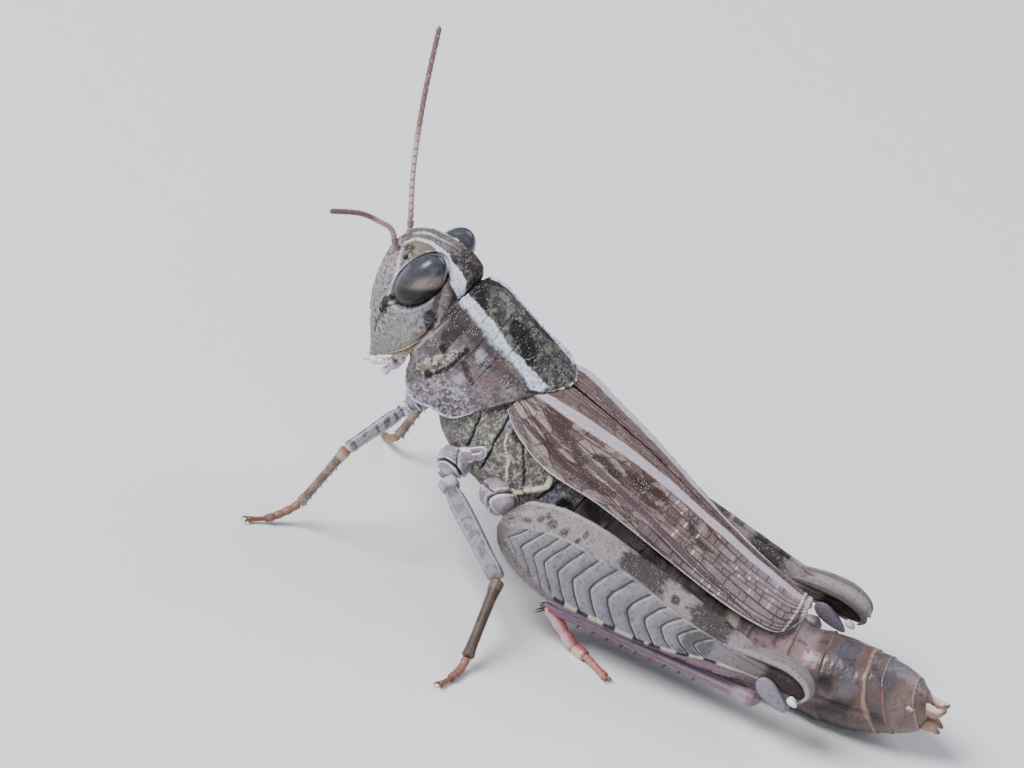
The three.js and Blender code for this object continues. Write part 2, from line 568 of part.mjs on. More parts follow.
/** Legs first, as the thorax and the belly are cut clear of them. */
function buildAnimal() {
  buildHead();
  const saddle = pronotumShape(GAP);
  const wings = [-1, 1].map((side) => wingShape(side, GAP));
  const thoraxEnd = THORAX[THORAX.length - 1][0];
  const thorax = less(trunk(THORAX, THORAX[0][0], thoraxEnd, [12, 6]), [saddle, ...wings]);
  const thoraxKeepOut = trunk(THORAX, THORAX[0][0], thoraxEnd, [12, 6], GAP);
  const body = [pronotumShape(GAP), thoraxKeepOut];
  const legs = [];
  [[-1, 'left'], [1, 'right']].forEach(([side, suffix]) => {
    legs.push(...walkingLeg('front', side, suffix, body));
    legs.push(...walkingLeg('middle', side, suffix, body));
    legs.push(...hindLeg(side, suffix, body));
  });
  add('pronotum', pronotumShape(), COLOUR.pronotum);
  add('thorax', thorax, COLOUR.thorax);
  add('tegmen_left', less(wingShape(-1), [saddle, ...legs]), COLOUR.wing);
  add('tegmen_right', less(wingShape(1), [saddle, ...legs]), COLOUR.wing);
  BELLY_NAMES.forEach((name, i) => {
    const piece = trunk(BELLY, BELLY_CUTS[i] + GAP, BELLY_CUTS[i + 1], [14, 4]);
    add(name, less(piece, [...wings, ...legs]), COLOUR.belly, 0.4);
  });
  const tail = trunk(BELLY, BELLY_CUTS[3], BELLY_CUTS[4], [14, 4], GAP);
  Object.entries(BLADES).forEach(([name, blade]) => {
    add(name, less(bladeShape(blade), [tail]), COLOUR.blade);
  });
}

/** Puts the origin at the middle of the animal's footprint, on the floor. */
function centre() {
  const box = new THREE.Box3().setFromObject(grasshopper);
  grasshopper.position.set(-(box.min.x + box.max.x) / 2, -(box.min.y + box.max.y) / 2, -box.min.z);
}

buildAnimal();
centre();

export default grasshopper;
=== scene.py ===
"""A female grasshopper with short horns, life size and still, standing on a flat floor.

Shapes are worked out in millimetres, with +Z up, the head toward -X and the animal's left
side toward -Y. A body place is (s, y, z): s along the body axis from the neck to the tail,
y to the animal's right and z up from the axis. The body axis bends these into the pose.
"""
import logging
import math
from dataclasses import dataclass, field
from enum import Enum
from typing import Iterable, Sequence

import bpy
import numpy as np
from mathutils import Matrix, Vector


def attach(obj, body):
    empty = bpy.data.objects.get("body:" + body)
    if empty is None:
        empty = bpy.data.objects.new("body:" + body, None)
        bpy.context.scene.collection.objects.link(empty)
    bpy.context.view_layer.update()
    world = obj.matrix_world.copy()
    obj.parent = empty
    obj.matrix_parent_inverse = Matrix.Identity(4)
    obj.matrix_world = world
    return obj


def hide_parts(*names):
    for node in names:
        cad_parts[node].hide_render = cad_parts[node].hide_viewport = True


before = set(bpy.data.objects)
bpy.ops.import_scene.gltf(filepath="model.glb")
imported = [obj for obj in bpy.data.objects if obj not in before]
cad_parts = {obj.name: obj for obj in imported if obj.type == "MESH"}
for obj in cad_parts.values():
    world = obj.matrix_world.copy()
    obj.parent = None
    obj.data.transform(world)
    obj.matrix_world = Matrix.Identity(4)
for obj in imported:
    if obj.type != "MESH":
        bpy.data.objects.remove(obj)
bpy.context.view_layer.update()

Array = np.ndarray
Rows = Sequence[Sequence[float]]
Marks = dict[str, Array]
Feed = bpy.types.NodeSocket | float | Sequence[float]
log = logging.getLogger("grasshopper")

MM = 0.001
ORIGIN_SHIFT = np.array((-7.43716, -0.14979, 0.0))
COAT_ROUGHNESS = 0.12
SUBSURFACE_REACH = 0.0004


# ---------------------------------------------------------------- numbers and curves

def smooth(low: float, high: float, value: Array) -> Array:
    """Rises softly from 0 at low to 1 at high.

    Args:
        low: Where the rise begins.
        high: Where it ends, which may lie below low for a fall.
        value: The numbers to read.

    Returns:
        The share of the rise at each number.
    """
    share = held((value - low) / (high - low))
    return share * share * (3.0 - 2.0 * share)


def held(value: Array) -> Array:
    """The numbers kept from 0 to 1."""
    return np.clip(value, 0, 1)


def band(value: Array, centre: float | Array, half: float | Array, soft: float = 0.05) -> Array:
    """1 within half of the centre, fading out over a soft width.

    Args:
        value: The numbers to read.
        centre: The middle of the band.
        half: Half its full-strength width.
        soft: The width of its fade on each side.

    Returns:
        The band's strength at each number.
    """
    share = held((np.abs(value - centre) - half) / soft)
    return 1.0 - share * share * (3.0 - 2.0 * share)


def keyed(rows: Rows, key: float | Array, column: int = 1) -> Array:
    """Reads one column of keyed rows on a smooth curve through the rows.

    Args:
        rows: Rows whose first number is the key, in rising or falling order.
        key: Where to read.
        column: Which number of a row to read.

    Returns:
        The column's value at each key.
    """
    table = np.asarray(rows, float)
    if table[-1, 0] < table[0, 0]:
        table = table[::-1]
    at, value = table[:, 0], table[:, column]
    last = len(at) - 1
    i = np.clip(np.searchsorted(at, key, side="right") - 1, 0, last - 1)
    before, after = np.maximum(i - 1, 0), np.minimum(i + 2, last)
    span = at[i + 1] - at[i]
    t = held((key - at[i]) / span)
    start = (value[i + 1] - value[before]) / (at[i + 1] - at[before]) * span
    end = (value[after] - value[i]) / (at[after] - at[i]) * span
    a, b = value[i], value[i + 1]
    return a + t * (start + t * (3 * (b - a) - 2 * start - end + t * (start + end - 2 * (b - a))))


def eased(rows: Rows, key: float | Array) -> Array:
    """Reads keyed rows with an eased step between neighbours.

    Args:
        rows: Rows of a rising key and a value.
        key: Where to read.

    Returns:
        The value at each key.
    """
    table = np.asarray(rows, float)
    at, value = table[:, 0], table[:, 1]
    i = np.clip(np.searchsorted(at, key, side="right") - 1, 0, len(at) - 2)
    share = held((key - at[i]) / (at[i + 1] - at[i]))
    return value[i] + (value[i + 1] - value[i]) * share * share * (3.0 - 2.0 * share)


def scattered(i: Array, j: Array, k: Array, seed: int) -> Array:
    """A repeatable draw for each whole-numbered cell.

    Args:
        i: The cells' first numbers.
        j: Their second numbers.
        k: Their third numbers.
        seed: Which draw.

    Returns:
        A number from 0 to 1 for each cell.
    """
    draw = (i * 374761393 + j * 668265263 + k * 974634777 + seed * 1274126177) & 0xFFFFFFFF
    draw = ((draw ^ (draw >> 13)) * 1274126177) & 0xFFFFFFFF
    return ((draw ^ (draw >> 16)) & 0xFFFF) / 65535.0


def cloud(places: Array, per_mm: float, seed: int = 1) -> Array:
    """Soft lumps from 0 to 1 through space.

    Args:
        places: Points, with three numbers last.
        per_mm: How many lumps a millimetre holds.
        seed: Which draw of lumps.

    Returns:
        The lumps' strength at each point.
    """
    scaled = places * per_mm + 17.0 * seed
    cell = np.floor(scaled).astype(np.int64)
    share = scaled - cell
    share = share * share * (3.0 - 2.0 * share)
    total = np.zeros(places.shape[:-1])
    for corner in range(8):
        step = np.array((corner & 1, corner >> 1 & 1, corner >> 2))
        weight = np.where(step == 1, share, 1.0 - share).prod(-1)
        at = cell + step
        total += weight * scattered(at[..., 0], at[..., 1], at[..., 2], seed)
    return total


def cells(places: Array, per_mm: float, seed: int = 1) -> tuple[Array, Array, Array]:
    """Round cells on a sheet.

    Args:
        places: Points of a flat sheet, with two numbers last.
        per_mm: How many cells a millimetre holds.
        seed: Which draw of cells.

    Returns:
        The distance to the nearest cell's middle, how much farther the next one is, both in
        cell widths, and a tone from 0 to 1 that each cell keeps.
    """
    scaled = places * per_mm + 31.0
    cell = np.floor(scaled).astype(np.int64)
    near = np.full(places.shape[:-1], 9.0)
    second, tone = near.copy(), 0 * near
    for di in (-1, 0, 1):
        for dj in (-1, 0, 1):
            i, j = cell[..., 0] + di, cell[..., 1] + dj
            across = i + scattered(i, j, i * 0, seed) - scaled[..., 0]
            along = j + scattered(i, j, i * 0 + 5, seed) - scaled[..., 1]
            gap = np.hypot(across, along)
            second = np.minimum(second, np.maximum(near, gap))
            tone = np.where(gap < near, scattered(i, j, i * 0 + 9, seed), tone)
            near = np.minimum(near, gap)
    return near, second - near, tone


def trace(places: Array, route: Rows, half: float | Sequence[float], soft: float = 0.05) -> Array:
    """A stroke drawn along a route.

    Args:
        places: Points, with their numbers last.
        route: The corners of the route.
        half: Half the stroke's width, or one half width for each corner.
        soft: The width of its faded edge.

    Returns:
        The stroke's strength at each point.
    """
    corners = np.asarray(route, float)
    halves = np.broadcast_to(np.asarray(half, float), len(corners))
    strength = np.zeros(places.shape[:-1])
    for a, b, wide_a, wide_b in zip(corners, corners[1:], halves, halves[1:]):
        line = b - a
        share = held(((places - a) @ line) / (line @ line))
        gap = np.linalg.norm(places - a - share[..., None] * line, axis=-1)
        wide = wide_a + (wide_b - wide_a) * share
        strength = np.maximum(strength, band(gap, 0.0, wide, soft))
    return strength


def spot(places: Array, centre: Sequence[float], radius: float, soft: float = 0.1) -> Array:
    """A round spot about a place."""
    return band(np.linalg.norm(places - np.asarray(centre, float), axis=-1), 0.0, radius, soft)


def unit(vectors: Array) -> Array:
    """The vectors at length one."""
    return vectors / np.maximum(np.linalg.norm(vectors, axis=-1, keepdims=True), 1e-12)


def outward(grid: Array, wrap: bool = True) -> Array:
    """Unit normals of a grid of points.

    Args:
        grid: Rows of rings of points.
        wrap: True where each ring closes on itself.

    Returns:
        A normal at each point, away from the middle of its ring if the rings close.
    """
    along = np.gradient(grid, axis=0)
    if wrap:
        around = np.roll(grid, -1, axis=1) - np.roll(grid, 1, axis=1)
    else:
        around = np.gradient(grid, axis=1)
    normal = unit(np.cross(along, around))
    if wrap:
        away = grid - grid.mean(axis=1, keepdims=True)
        if (normal * away).sum() < 0:
            normal = -normal
    return normal


def curve_through(points: Rows, count: int) -> Array:
    """Even steps along a smooth curve through points.

    Args:
        points: The points to pass through.
        count: How many places to return.

    Returns:
        Places at equal distances along the curve.
    """
    given = np.asarray(points, float)
    ends = np.vstack((2 * given[0] - given[1], given, 2 * given[-1] - given[-2]))
    fine = []
    for i in range(len(given) - 1):
        a, b, c, d = ends[i : i + 4]
        gaps = [max(np.linalg.norm(q - p), 1e-9) ** 0.5 for p, q in ((a, b), (b, c), (c, d))]
        start = ((b - a) / gaps[0] - (c - a) / (gaps[0] + gaps[1]) + (c - b) / gaps[1]) * gaps[1]
        end = ((c - b) / gaps[1] - (d - b) / (gaps[1] + gaps[2]) + (d - c) / gaps[2]) * gaps[1]
        t = np.linspace(0, 1, 60, endpoint=i == len(given) - 2)[:, None]
        fine.append(b + t * (start + t * (3 * (c - b) - 2 * start - end + t * (start + end - 2 * (c - b)))))
    path = np.vstack(fine)
    walked = np.concatenate(([0], np.cumsum(np.linalg.norm(np.diff(path, axis=0), axis=1))))
    steps = np.linspace(0, walked[-1], count)
    return np.stack([np.interp(steps, walked, path[:, k]) for k in range(3)], -1)


def sweep(path: Array, up_hint: Sequence[float], section: Array) -> Array:
    """Carries sections along a path.

    Args:
        path: Places along the path.
        up_hint: The direction that the sections' up follows as closely as it can.
        section: For each place a ring of (across, up) offsets.

    Returns:
        The grid of points.
    """
    ahead = unit(np.gradient(path, axis=0))
    up = np.asarray(up_hint, float) - (ahead @ np.asarray(up_hint, float))[:, None] * ahead
    up = unit(up)
    across = np.cross(ahead, up)
    return path[:, None] + section[..., :1] * across[:, None] + section[..., 1:] * up[:, None]


def ring(count: int) -> Array:
    """Angles round a ring, from its top."""
    return np.arange(count) * (2 * math.pi / count)


def bent(angle: Array, power: float | Array) -> tuple[Array, Array]:
    """A rounded-square ring.

    Args:
        angle: The angles round it, from its top.
        power: 2 for an ellipse, and more for squarer shoulders.

    Returns:
        The share of the full width and of the full height at each angle.
    """
    sine, cosine = np.sin(angle), np.cos(angle)
    squared = 2.0 / power
    return np.sign(sine) * np.abs(sine) ** squared, np.sign(cosine) * np.abs(cosine) ** squared


def rounded(share: Array, start: float, end: float, least: float = 0.02) -> Array:
    """Rounds the two ends of a limb off.

    Args:
        share: The share along the limb.
        start: The share that the rounding of the first end takes.
        end: The share that the rounding of the last end takes.
        least: The square of the radius that the very ends keep.

    Returns:
        The share of the full radius.
    """
    return np.sqrt(np.clip(np.minimum(share / start, (1 - share) / end), least, 1))


def scaled(rows: Rows, factor: float) -> list[tuple[float, float]]:
    """Rows of a key and a value, with the values scaled."""
    return [(key, value * factor) for key, value in rows]


# ---------------------------------------------------------------- the pose

@dataclass
class BodyAxis:
    """The bent axis that all body places hang on."""

    anchor: tuple[float, float, float, float] = (7.0, 1.45, 0.46, 8.06)
    pitch: Rows = ((-8, 24), (0, 26.7), (7, 26.7), (11, 19), (15, 16.5), (18, 12), (20.5, 3), (23, -4),
                   (31, -6))
    yaw: Rows = ((-8, -7.3), (6, -7.3), (12, -2), (31, -1.5))
    step: float = 0.05
    stations: Array = field(init=False)
    spine: Array = field(init=False)

    def __post_init__(self) -> None:
        """Walks the axis once from end to end."""
        self.stations = np.arange(-8.0, 33.0, self.step)
        ahead = self.directions(self.stations[:-1] + self.step / 2)[0] * self.step
        walked = np.vstack((np.zeros(3), np.cumsum(ahead, axis=0)))
        here = np.array([np.interp(self.anchor[0], self.stations, walked[:, k]) for k in range(3)])
        self.spine = walked - here + np.array(self.anchor[1:]) + ORIGIN_SHIFT

    def directions(self, station: float | Array) -> tuple[Array, Array, Array]:
        """Unit directions at stations.

        Args:
            station: Stations of the axis.

        Returns:
            The directions toward the tail, to the right and up.
        """
        fall = np.radians(eased(self.pitch, station))
        turn = np.radians(eased(self.yaw, station))
        tail = np.stack((np.cos(fall) * np.cos(turn), np.cos(fall) * np.sin(turn), -np.sin(fall)), -1)
        right = np.stack((-np.sin(turn), np.cos(turn), 0 * turn), -1)
        return tail, right, np.cross(tail, right)

    def place(self, body: Array) -> Array:
        """Takes body places into the pose.

        Args:
            body: Body places, with s, y and z last.

        Returns:
            The same places in the frame, in millimetres.
        """
        body = np.asarray(body, float)
        s = body[..., 0]
        base = np.stack([np.interp(s, self.stations, self.spine[:, k]) for k in range(3)], -1)
        _, right, up = self.directions(s)
        return base + body[..., 1:2] * right + body[..., 2:3] * up

    def mirrored(self, place: Array, station: float) -> Array:
        """Mirrors a place in the body's middle plane.

        Args:
            place: A place in the frame, in millimetres.
            station: The station at which the middle plane is taken.

        Returns:
            The place on the other side.
        """
        _, right, _ = self.directions(np.array(station))
        base = self.place(np.array((station, 0.0, 0.0)))
        return place - 2 * ((place - base) @ right)[..., None] * right


AXIS = BodyAxis()


# ---------------------------------------------------------------- finishes

class Pattern(Enum):
    """How a tint is broken up over the surface."""

    PLAIN = "plain"
    CLOUD = "cloud"
    SPECK = "speck"
    STREAK = "streak"


def colour_of(code: str) -> tuple[float, float, float, float]:
    """Turns a written colour into linear light.

    Args:
        code: Red, green and blue as six hexadecimal digits.

    Returns:
        Red, green, blue and a full alpha.
    """
    parts = [int(code[i : i + 2], 16) / 255 for i in (0, 2, 4)]
    linear = [p / 12.92 if p <= 0.04045 else ((p + 0.055) / 1.055) ** 2.4 for p in parts]
    return (*linear, 1.0)


@dataclass(frozen=True)
class Tint:
    """A colour laid over the ones under it, where its mark and its pattern both show."""

    colour: str
    mark: str = ""
    amount: float = 1.0
    pattern: Pattern = Pattern.PLAIN
    per_mm: float = 1.0
    low: float = 0.45
    high: float = 0.6


def mottle(colour: str, per_mm: float, low: float, high: float, amount: float, mark: str = "") -> Tint:
    """A cloudy tint, which shows from low to high of its clouds."""
    return Tint(colour, mark, amount, Pattern.CLOUD, per_mm, low, high)


def wired(tree: bpy.types.NodeTree, node: bpy.types.Node, feeds: dict[str | int, Feed]) -> bpy.types.Node:
    """Sets a node's inputs, or links them.

    Args:
        tree: The material's nodes.
        node: The node whose inputs are set.
        feeds: For each input its value, or the socket that it reads.

    Returns:
        The node.
    """
    for key, value in feeds.items():
        if isinstance(value, bpy.types.NodeSocket):
            tree.links.new(value, node.inputs[key])
        else:
            node.inputs[key].default_value = value
    return node


@dataclass(frozen=True)
class Finish:
    """One surface finish: tints over a ground colour, gloss and fine relief."""

    name: str
    ground: str
    tints: tuple[Tint, ...] = ()
    rough: float = 0.6
    rough_spread: float = 0.2
    coat: float = 0.0
    specular: float = 0.5
    through: float = 0.0
    grain_per_mm: float = 9.0
    grain_depth: float = 0.02
    pit_per_mm: float = 0.0
    pit_depth: float = 0.03

    def material(self) -> bpy.types.Material:
        """Builds the finish once and hands it out again after that.

        Returns:
            The node material.
        """
        made = bpy.data.materials.get(self.name)
        if made:
            return made
        made = bpy.data.materials.new(self.name)
        made.use_nodes = True
        tree = made.node_tree
        shader = tree.nodes["Principled BSDF"]
        wired(tree, shader, {"Specular IOR Level": self.specular, "Coat Weight": self.coat,
                             "Coat Roughness": COAT_ROUGHNESS})
        if self.through > 0:
            wired(tree, shader, {"Subsurface Weight": self.through, "Subsurface Scale": SUBSURFACE_REACH})
        place = tree.nodes.new("ShaderNodeTexCoord").outputs["Object"]
        larger = tree.nodes.new("ShaderNodeVectorMath")
        larger.operation = "SCALE"
        wired(tree, larger, {0: place, "Scale": 1 / MM})
        sources = {"place": larger.outputs[0], "flow": self.mark(tree, "flow").outputs["Vector"]}
        colour = None
        for tint in self.tints:
            colour = self.lay(tree, tint, colour, sources)
        if colour is not None:
            tree.links.new(colour, shader.inputs["Base Color"])
        self.dull(tree, shader, sources["place"])
        self.relief(tree, shader, sources["place"])
        return made

    def mark(self, tree: bpy.types.NodeTree, name: str) -> bpy.types.Node:
        """Reads one of the mesh's own marks.

        Args:
            tree: The material's nodes.
            name: The mark's name.

        Returns:
            The node that reads it.
        """
        reader = tree.nodes.new("ShaderNodeAttribute")
        reader.attribute_name = name
        return reader

    def lay(self, tree: bpy.types.NodeTree, tint: Tint, under: bpy.types.NodeSocket | None,
            sources: dict[str, bpy.types.NodeSocket]) -> bpy.types.NodeSocket:
        """Mixes one tint over the colour so far.

        Args:
            tree: The material's nodes.
            tint: The tint to lay.
            under: The colour so far, or None for the ground colour.
            sources: The sockets that give places and flow.

        Returns:
            The socket of the new colour.
        """
        mix = tree.nodes.new("ShaderNodeMix")
        mix.data_type = "RGBA"
        ground = colour_of(self.ground) if under is None else under
        wired(tree, mix, {"A": ground, "B": colour_of(tint.colour)})
        strength = self.pattern(tree, tint, sources)
        if tint.mark:
            mark = self.mark(tree, tint.mark).outputs["Fac"]
            strength = mark if strength is None else self.times(tree, strength, mark)
        amount = tint.amount if strength is None else self.times(tree, strength, tint.amount)
        return wired(tree, mix, {"Factor": amount}).outputs["Result"]

    def times(self, tree: bpy.types.NodeTree, one: bpy.types.NodeSocket, other: Feed) -> bpy.types.NodeSocket:
        """Multiplies a socket by another socket or a number.

        Args:
            tree: The material's nodes.
            one: The socket.
            other: The other socket, or a number.

        Returns:
            The product, kept from 0 to 1.
        """
        node = tree.nodes.new("ShaderNodeMath")
        node.operation = "MULTIPLY"
        node.use_clamp = True
        return wired(tree, node, {0: one, 1: other}).outputs[0]

    def steps(self, tree: bpy.types.NodeTree, value: bpy.types.NodeSocket, low: float, high: float,
              soft: bool = False) -> bpy.types.Node:
        """Spreads a value's range from low to high over 0 to 1.

        Args:
            tree: The material's nodes.
            value: The value to spread.
            low: Where 0 lies.
            high: Where 1 lies.
            soft: True for a curved rise.

        Returns:
            The node that does it.
        """
        node = tree.nodes.new("ShaderNodeMapRange")
        if soft:
            node.interpolation_type = "SMOOTHSTEP"
        return wired(tree, node, {"Value": value, "From Min": low, "From Max": high})

    def noise(self, tree: bpy.types.NodeTree, place: bpy.types.NodeSocket, per_mm: float, detail: float,
              roughness: float = 0.5) -> bpy.types.NodeSocket:
        """Cloudy noise.

        Args:
            tree: The material's nodes.
            place: Where it is read.
            per_mm: How many lumps a millimetre holds.
            detail: How many finer layers it has.
            roughness: How strong the finer layers are.

        Returns:
            The socket of its strength.
        """
        node = tree.nodes.new("ShaderNodeTexNoise")
        wired(tree, node, {"Vector": place, "Scale": per_mm, "Detail": detail, "Roughness": roughness})
        return node.outputs["Fac"]

    def pattern(self, tree: bpy.types.NodeTree, tint: Tint,
                sources: dict[str, bpy.types.NodeSocket]) -> bpy.types.NodeSocket | None:
        """The nodes that break a tint up.

        Args:
            tree: The material's nodes.
            tint: The tint whose pattern is made.
            sources: The sockets that give places and flow.

        Returns:
            The pattern's strength, or None where the tint is plain.
        """
        if tint.pattern is Pattern.PLAIN:
            return None
        where = sources["place"]
        if tint.pattern is Pattern.SPECK:
            texture = wired(tree, tree.nodes.new("ShaderNodeTexVoronoi"),
                            {"Scale": tint.per_mm, "Vector": where})
            specks = self.steps(tree, texture.outputs["Distance"], tint.low, tint.high, soft=True)
            drifts = self.steps(tree, self.noise(tree, where, 1.7, 5.0, 0.75), 0.46, 0.62)
            return self.times(tree, specks.outputs["Result"], drifts.outputs["Result"])
        if tint.pattern is Pattern.STREAK:
            stretch = tree.nodes.new("ShaderNodeVectorMath")
            stretch.operation = "MULTIPLY"
            where = wired(tree, stretch, {0: sources["flow"], 1: (0.16, 1.0, 1.0)}).outputs[0]
        noise = self.noise(tree, where, tint.per_mm, 4.0, 0.62)
        return self.steps(tree, noise, tint.low, tint.high, soft=True).outputs["Result"]

    def dull(self, tree: bpy.types.NodeTree, shader: bpy.types.Node, place: bpy.types.NodeSocket) -> None:
        """Gives the gloss its small changes over the surface.

        Args:
            tree: The material's nodes.
            shader: The surface shader.
            place: The socket that gives places in millimetres.
        """
        steps = self.steps(tree, self.noise(tree, place, 2.3, 5.0), 0.3, 0.7)
        half = self.rough_spread / 2
        wired(tree, steps, {"To Min": max(0.05, self.rough - half), "To Max": min(1.0, self.rough + half)})
        tree.links.new(steps.outputs["Result"], shader.inputs["Roughness"])

    def relief(self, tree: bpy.types.NodeTree, shader: bpy.types.Node, place: bpy.types.NodeSocket) -> None:
        """Gives the surface its grain and pits.

        Args:
            tree: The material's nodes.
            shader: The surface shader.
            place: The socket that gives places in millimetres.
        """
        push = tree.nodes.new("ShaderNodeBump")
        wired(tree, push, {"Distance": self.grain_depth * MM, "Strength": 1.0,
                           "Height": self.noise(tree, place, self.grain_per_mm, 3.0)})
        if self.pit_per_mm > 0:
            pits = tree.nodes.new("ShaderNodeTexVoronoi")
            wired(tree, pits, {"Scale": self.pit_per_mm, "Vector": place})
            sink = tree.nodes.new("ShaderNodeBump")
            push = wired(tree, sink, {"Distance": self.pit_depth * MM, "Height": pits.outputs["Distance"],
                                      "Normal": push.outputs["Normal"]})
        tree.links.new(push.outputs["Normal"], shader.inputs["Normal"])


# ---------------------------------------------------------------- meshes

@dataclass
class Casting:
    """Grids of points gathered into one mesh, with named marks at the points."""

    name: str
    finish: Finish
    slot: str
    nodes: tuple[str, ...] = ()
    points: list[Array] = field(default_factory=list)
    quads: list[Array] = field(default_factory=list)
    corners: list[Array] = field(default_factory=list)
    marks: list[Marks] = field(default_factory=list)
    total: int = 0

    def sheet(self, grid: Array, marks: Marks | None = None, flow: Array | None = None) -> None:
        """Adds a closed tube made of rings of points, in millimetres of the frame.

        Args:
            grid: Rings of points, one ring a row.
            marks: The strength of each named mark at each point.
            flow: Distances along and across the surface at each point.
        """
        rows, columns = grid.shape[:2]
        index = np.arange(rows * columns).reshape(rows, columns) + self.total
        ahead = np.roll(index, -1, axis=1)
        quads = np.stack((index[:-1], ahead[:-1], ahead[1:], index[1:]), -1).reshape(-1, 4)
        middle = np.full(columns, self.total + rows * columns)
        fans = (np.stack((middle, ahead[0], index[0]), -1), np.stack((middle + 1, index[-1], ahead[-1]), -1))
        flat = np.vstack((grid.reshape(-1, 3), grid[0].mean(axis=0), grid[-1].mean(axis=0)))
        corner = [flat[quads[:, k] - self.total] for k in range(4)]
        facing = np.cross(corner[2] - corner[0], corner[3] - corner[1])
        inside_out = ((sum(corner) / 4 - flat.mean(axis=0)) * facing).sum() < 0
        self.quads.append(quads[:, ::-1] if inside_out else quads)
        self.corners += [fan[:, ::-1] if inside_out else fan for fan in fans]
        values = {}
        for key, value in (marks or {}).items():
            spread = np.broadcast_to(np.asarray(value, float), (rows, columns))
            values[key] = np.concatenate((spread.ravel(), [spread[0].mean()] * len(fans)))
        if flow is None:
            steps = np.stack(np.meshgrid(np.arange(rows), np.arange(columns), indexing="ij"), -1) * 0.05
            flow = np.concatenate((steps, np.zeros((rows, columns, 1))), -1)
        values["flow"] = np.vstack((flow.reshape(-1, 3), np.zeros((len(fans), 3))))
        self.points.append(flat)
        self.marks.append(values)
        self.total += len(flat)

    def thorns(self, roots: Array, tips: Array, radius: float | Array, marks: Marks | None = None,
               sides: int = 6) -> None:
        """Adds many small pointed cones.

        Args:
            roots: Where each one starts.
            tips: Where each one ends.
            radius: The radius at the roots.
            marks: The strength of each mark at each thorn.
            sides: How many sides each has.
        """
        roots, tips = np.atleast_2d(roots), np.atleast_2d(tips)
        count = len(roots)
        size = np.broadcast_to(np.asarray(radius, float), count)
        ahead = unit(tips - roots)
        side = unit(np.cross(ahead, np.where(np.abs(ahead[:, 2:]) > 0.9, (1.0, 0, 0), (0, 0, 1.0))))
        over = np.cross(ahead, side)
        angle = ring(sides)
        spokes = np.cos(angle)[:, None] * side[:, None] + np.sin(angle)[:, None] * over[:, None]
        layers = []
        for share, width in ((0.0, 1.0), (0.55, 0.6)):
            middle = roots + (tips - roots) * share
            layers.append(middle[:, None] + spokes * (size * width)[:, None, None])
        flat = np.concatenate((*layers, tips[:, None]), axis=1)
        each = 2 * sides + 1
        start = (np.arange(count) * each + self.total)[:, None]
        around = np.arange(sides)
        beside = np.roll(around, -1)
        quads = np.stack([start + k for k in (around, beside, beside + sides, around + sides)], -1)
        peaks = np.stack([start + k for k in (around + sides, beside + sides, around * 0 + 2 * sides)], -1)
        self.quads.append(quads.reshape(-1, 4))
        self.corners.append(peaks.reshape(-1, 3))
        values = {key: np.repeat(np.broadcast_to(value, count), each) for key, value in (marks or {}).items()}
        values["flow"] = np.zeros((count * each, 3))
        self.points.append(flat.reshape(-1, 3))
        self.marks.append(values)
        self.total += count * each

    def cast(self) -> bpy.types.Object:
        """Makes the mesh, dresses it and sets it on the body.

        Returns:
            The finished piece.
        """
        points = np.vstack(self.points) * MM
        points[:, 2] = np.maximum(points[:, 2], 0.0)
        quads = np.vstack(self.quads) if self.quads else np.zeros((0, 4), int)
        corners = np.vstack(self.corners) if self.corners else np.zeros((0, 3), int)
        loops = np.concatenate((quads.ravel(), corners.ravel())).astype(np.int32)
        sizes = np.concatenate((np.full(len(quads), 4), np.full(len(corners), 3)))
        starts = np.concatenate(([0], np.cumsum(sizes)[:-1])).astype(np.int32)
        mesh = bpy.data.meshes.new(self.name)
        mesh.vertices.add(len(points))
        mesh.vertices.foreach_set("co", points.astype(np.float32).ravel())
        mesh.loops.add(len(loops))
        mesh.loops.foreach_set("vertex_index", loops)
        mesh.polygons.add(len(sizes))
        mesh.polygons.foreach_set("loop_start", starts)
        mesh.polygons.foreach_set("use_smooth", np.ones(len(sizes), bool))
        mesh.update(calc_edges=True)
        names = sorted({key for marks in self.marks for key in marks} - {"flow"})
        for key in names:
            parts = [m[key] if key in m else np.zeros(len(p)) for m, p in zip(self.marks, self.points)]
            layer = mesh.attributes.new(key, "FLOAT", "POINT")
            layer.data.foreach_set("value", np.concatenate(parts).astype(np.float32))
        layer = mesh.attributes.new("flow", "FLOAT_VECTOR", "POINT")
        layer.data.foreach_set("vector",
                               np.vstack([m["flow"] for m in self.marks]).astype(np.float32).ravel())
        mesh.materials.append(self.finish.material())
        piece = bpy.data.objects.new(self.name, mesh)
        bpy.context.scene.collection.objects.link(piece)
        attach(piece, "root")
        if self.nodes:
            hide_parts(*self.nodes)
        log.info("%s: %d points, %d faces", self.name, len(points), len(sizes))
        return piece


def posed(body: Array, lift: float | Array) -> Array:
    """Raises body places along their surface's normals and takes them into the pose.

    Args:
        body: Rings of body places.
        lift: How far each one is raised.

    Returns:
        The raised places in the frame, in millimetres.
    """
    raised = np.broadcast_to(np.asarray(lift, float), body.shape[:2])[..., None]
    return AXIS.place(body + outward(body) * raised)


def evened(grid: Array) -> Array:
    """Measures a grid of points, for the streaks of its finish.

    Args:
        grid: Rings of points in millimetres.

    Returns:
        The distances along and across the surface at each point, and 0.
    """
    down = np.concatenate(([0], np.cumsum(np.linalg.norm(np.diff(grid, axis=0), axis=-1).mean(axis=1))))
    steps = np.linalg.norm(np.roll(grid, -1, axis=1) - grid, axis=-1)
    across = np.cumsum(steps, axis=1) - steps.sum(axis=1, keepdims=True) / 2
    return np.stack((np.broadcast_to(down[:, None], across.shape), across, 0 * across), -1)


# ---------------------------------------------------------------- head

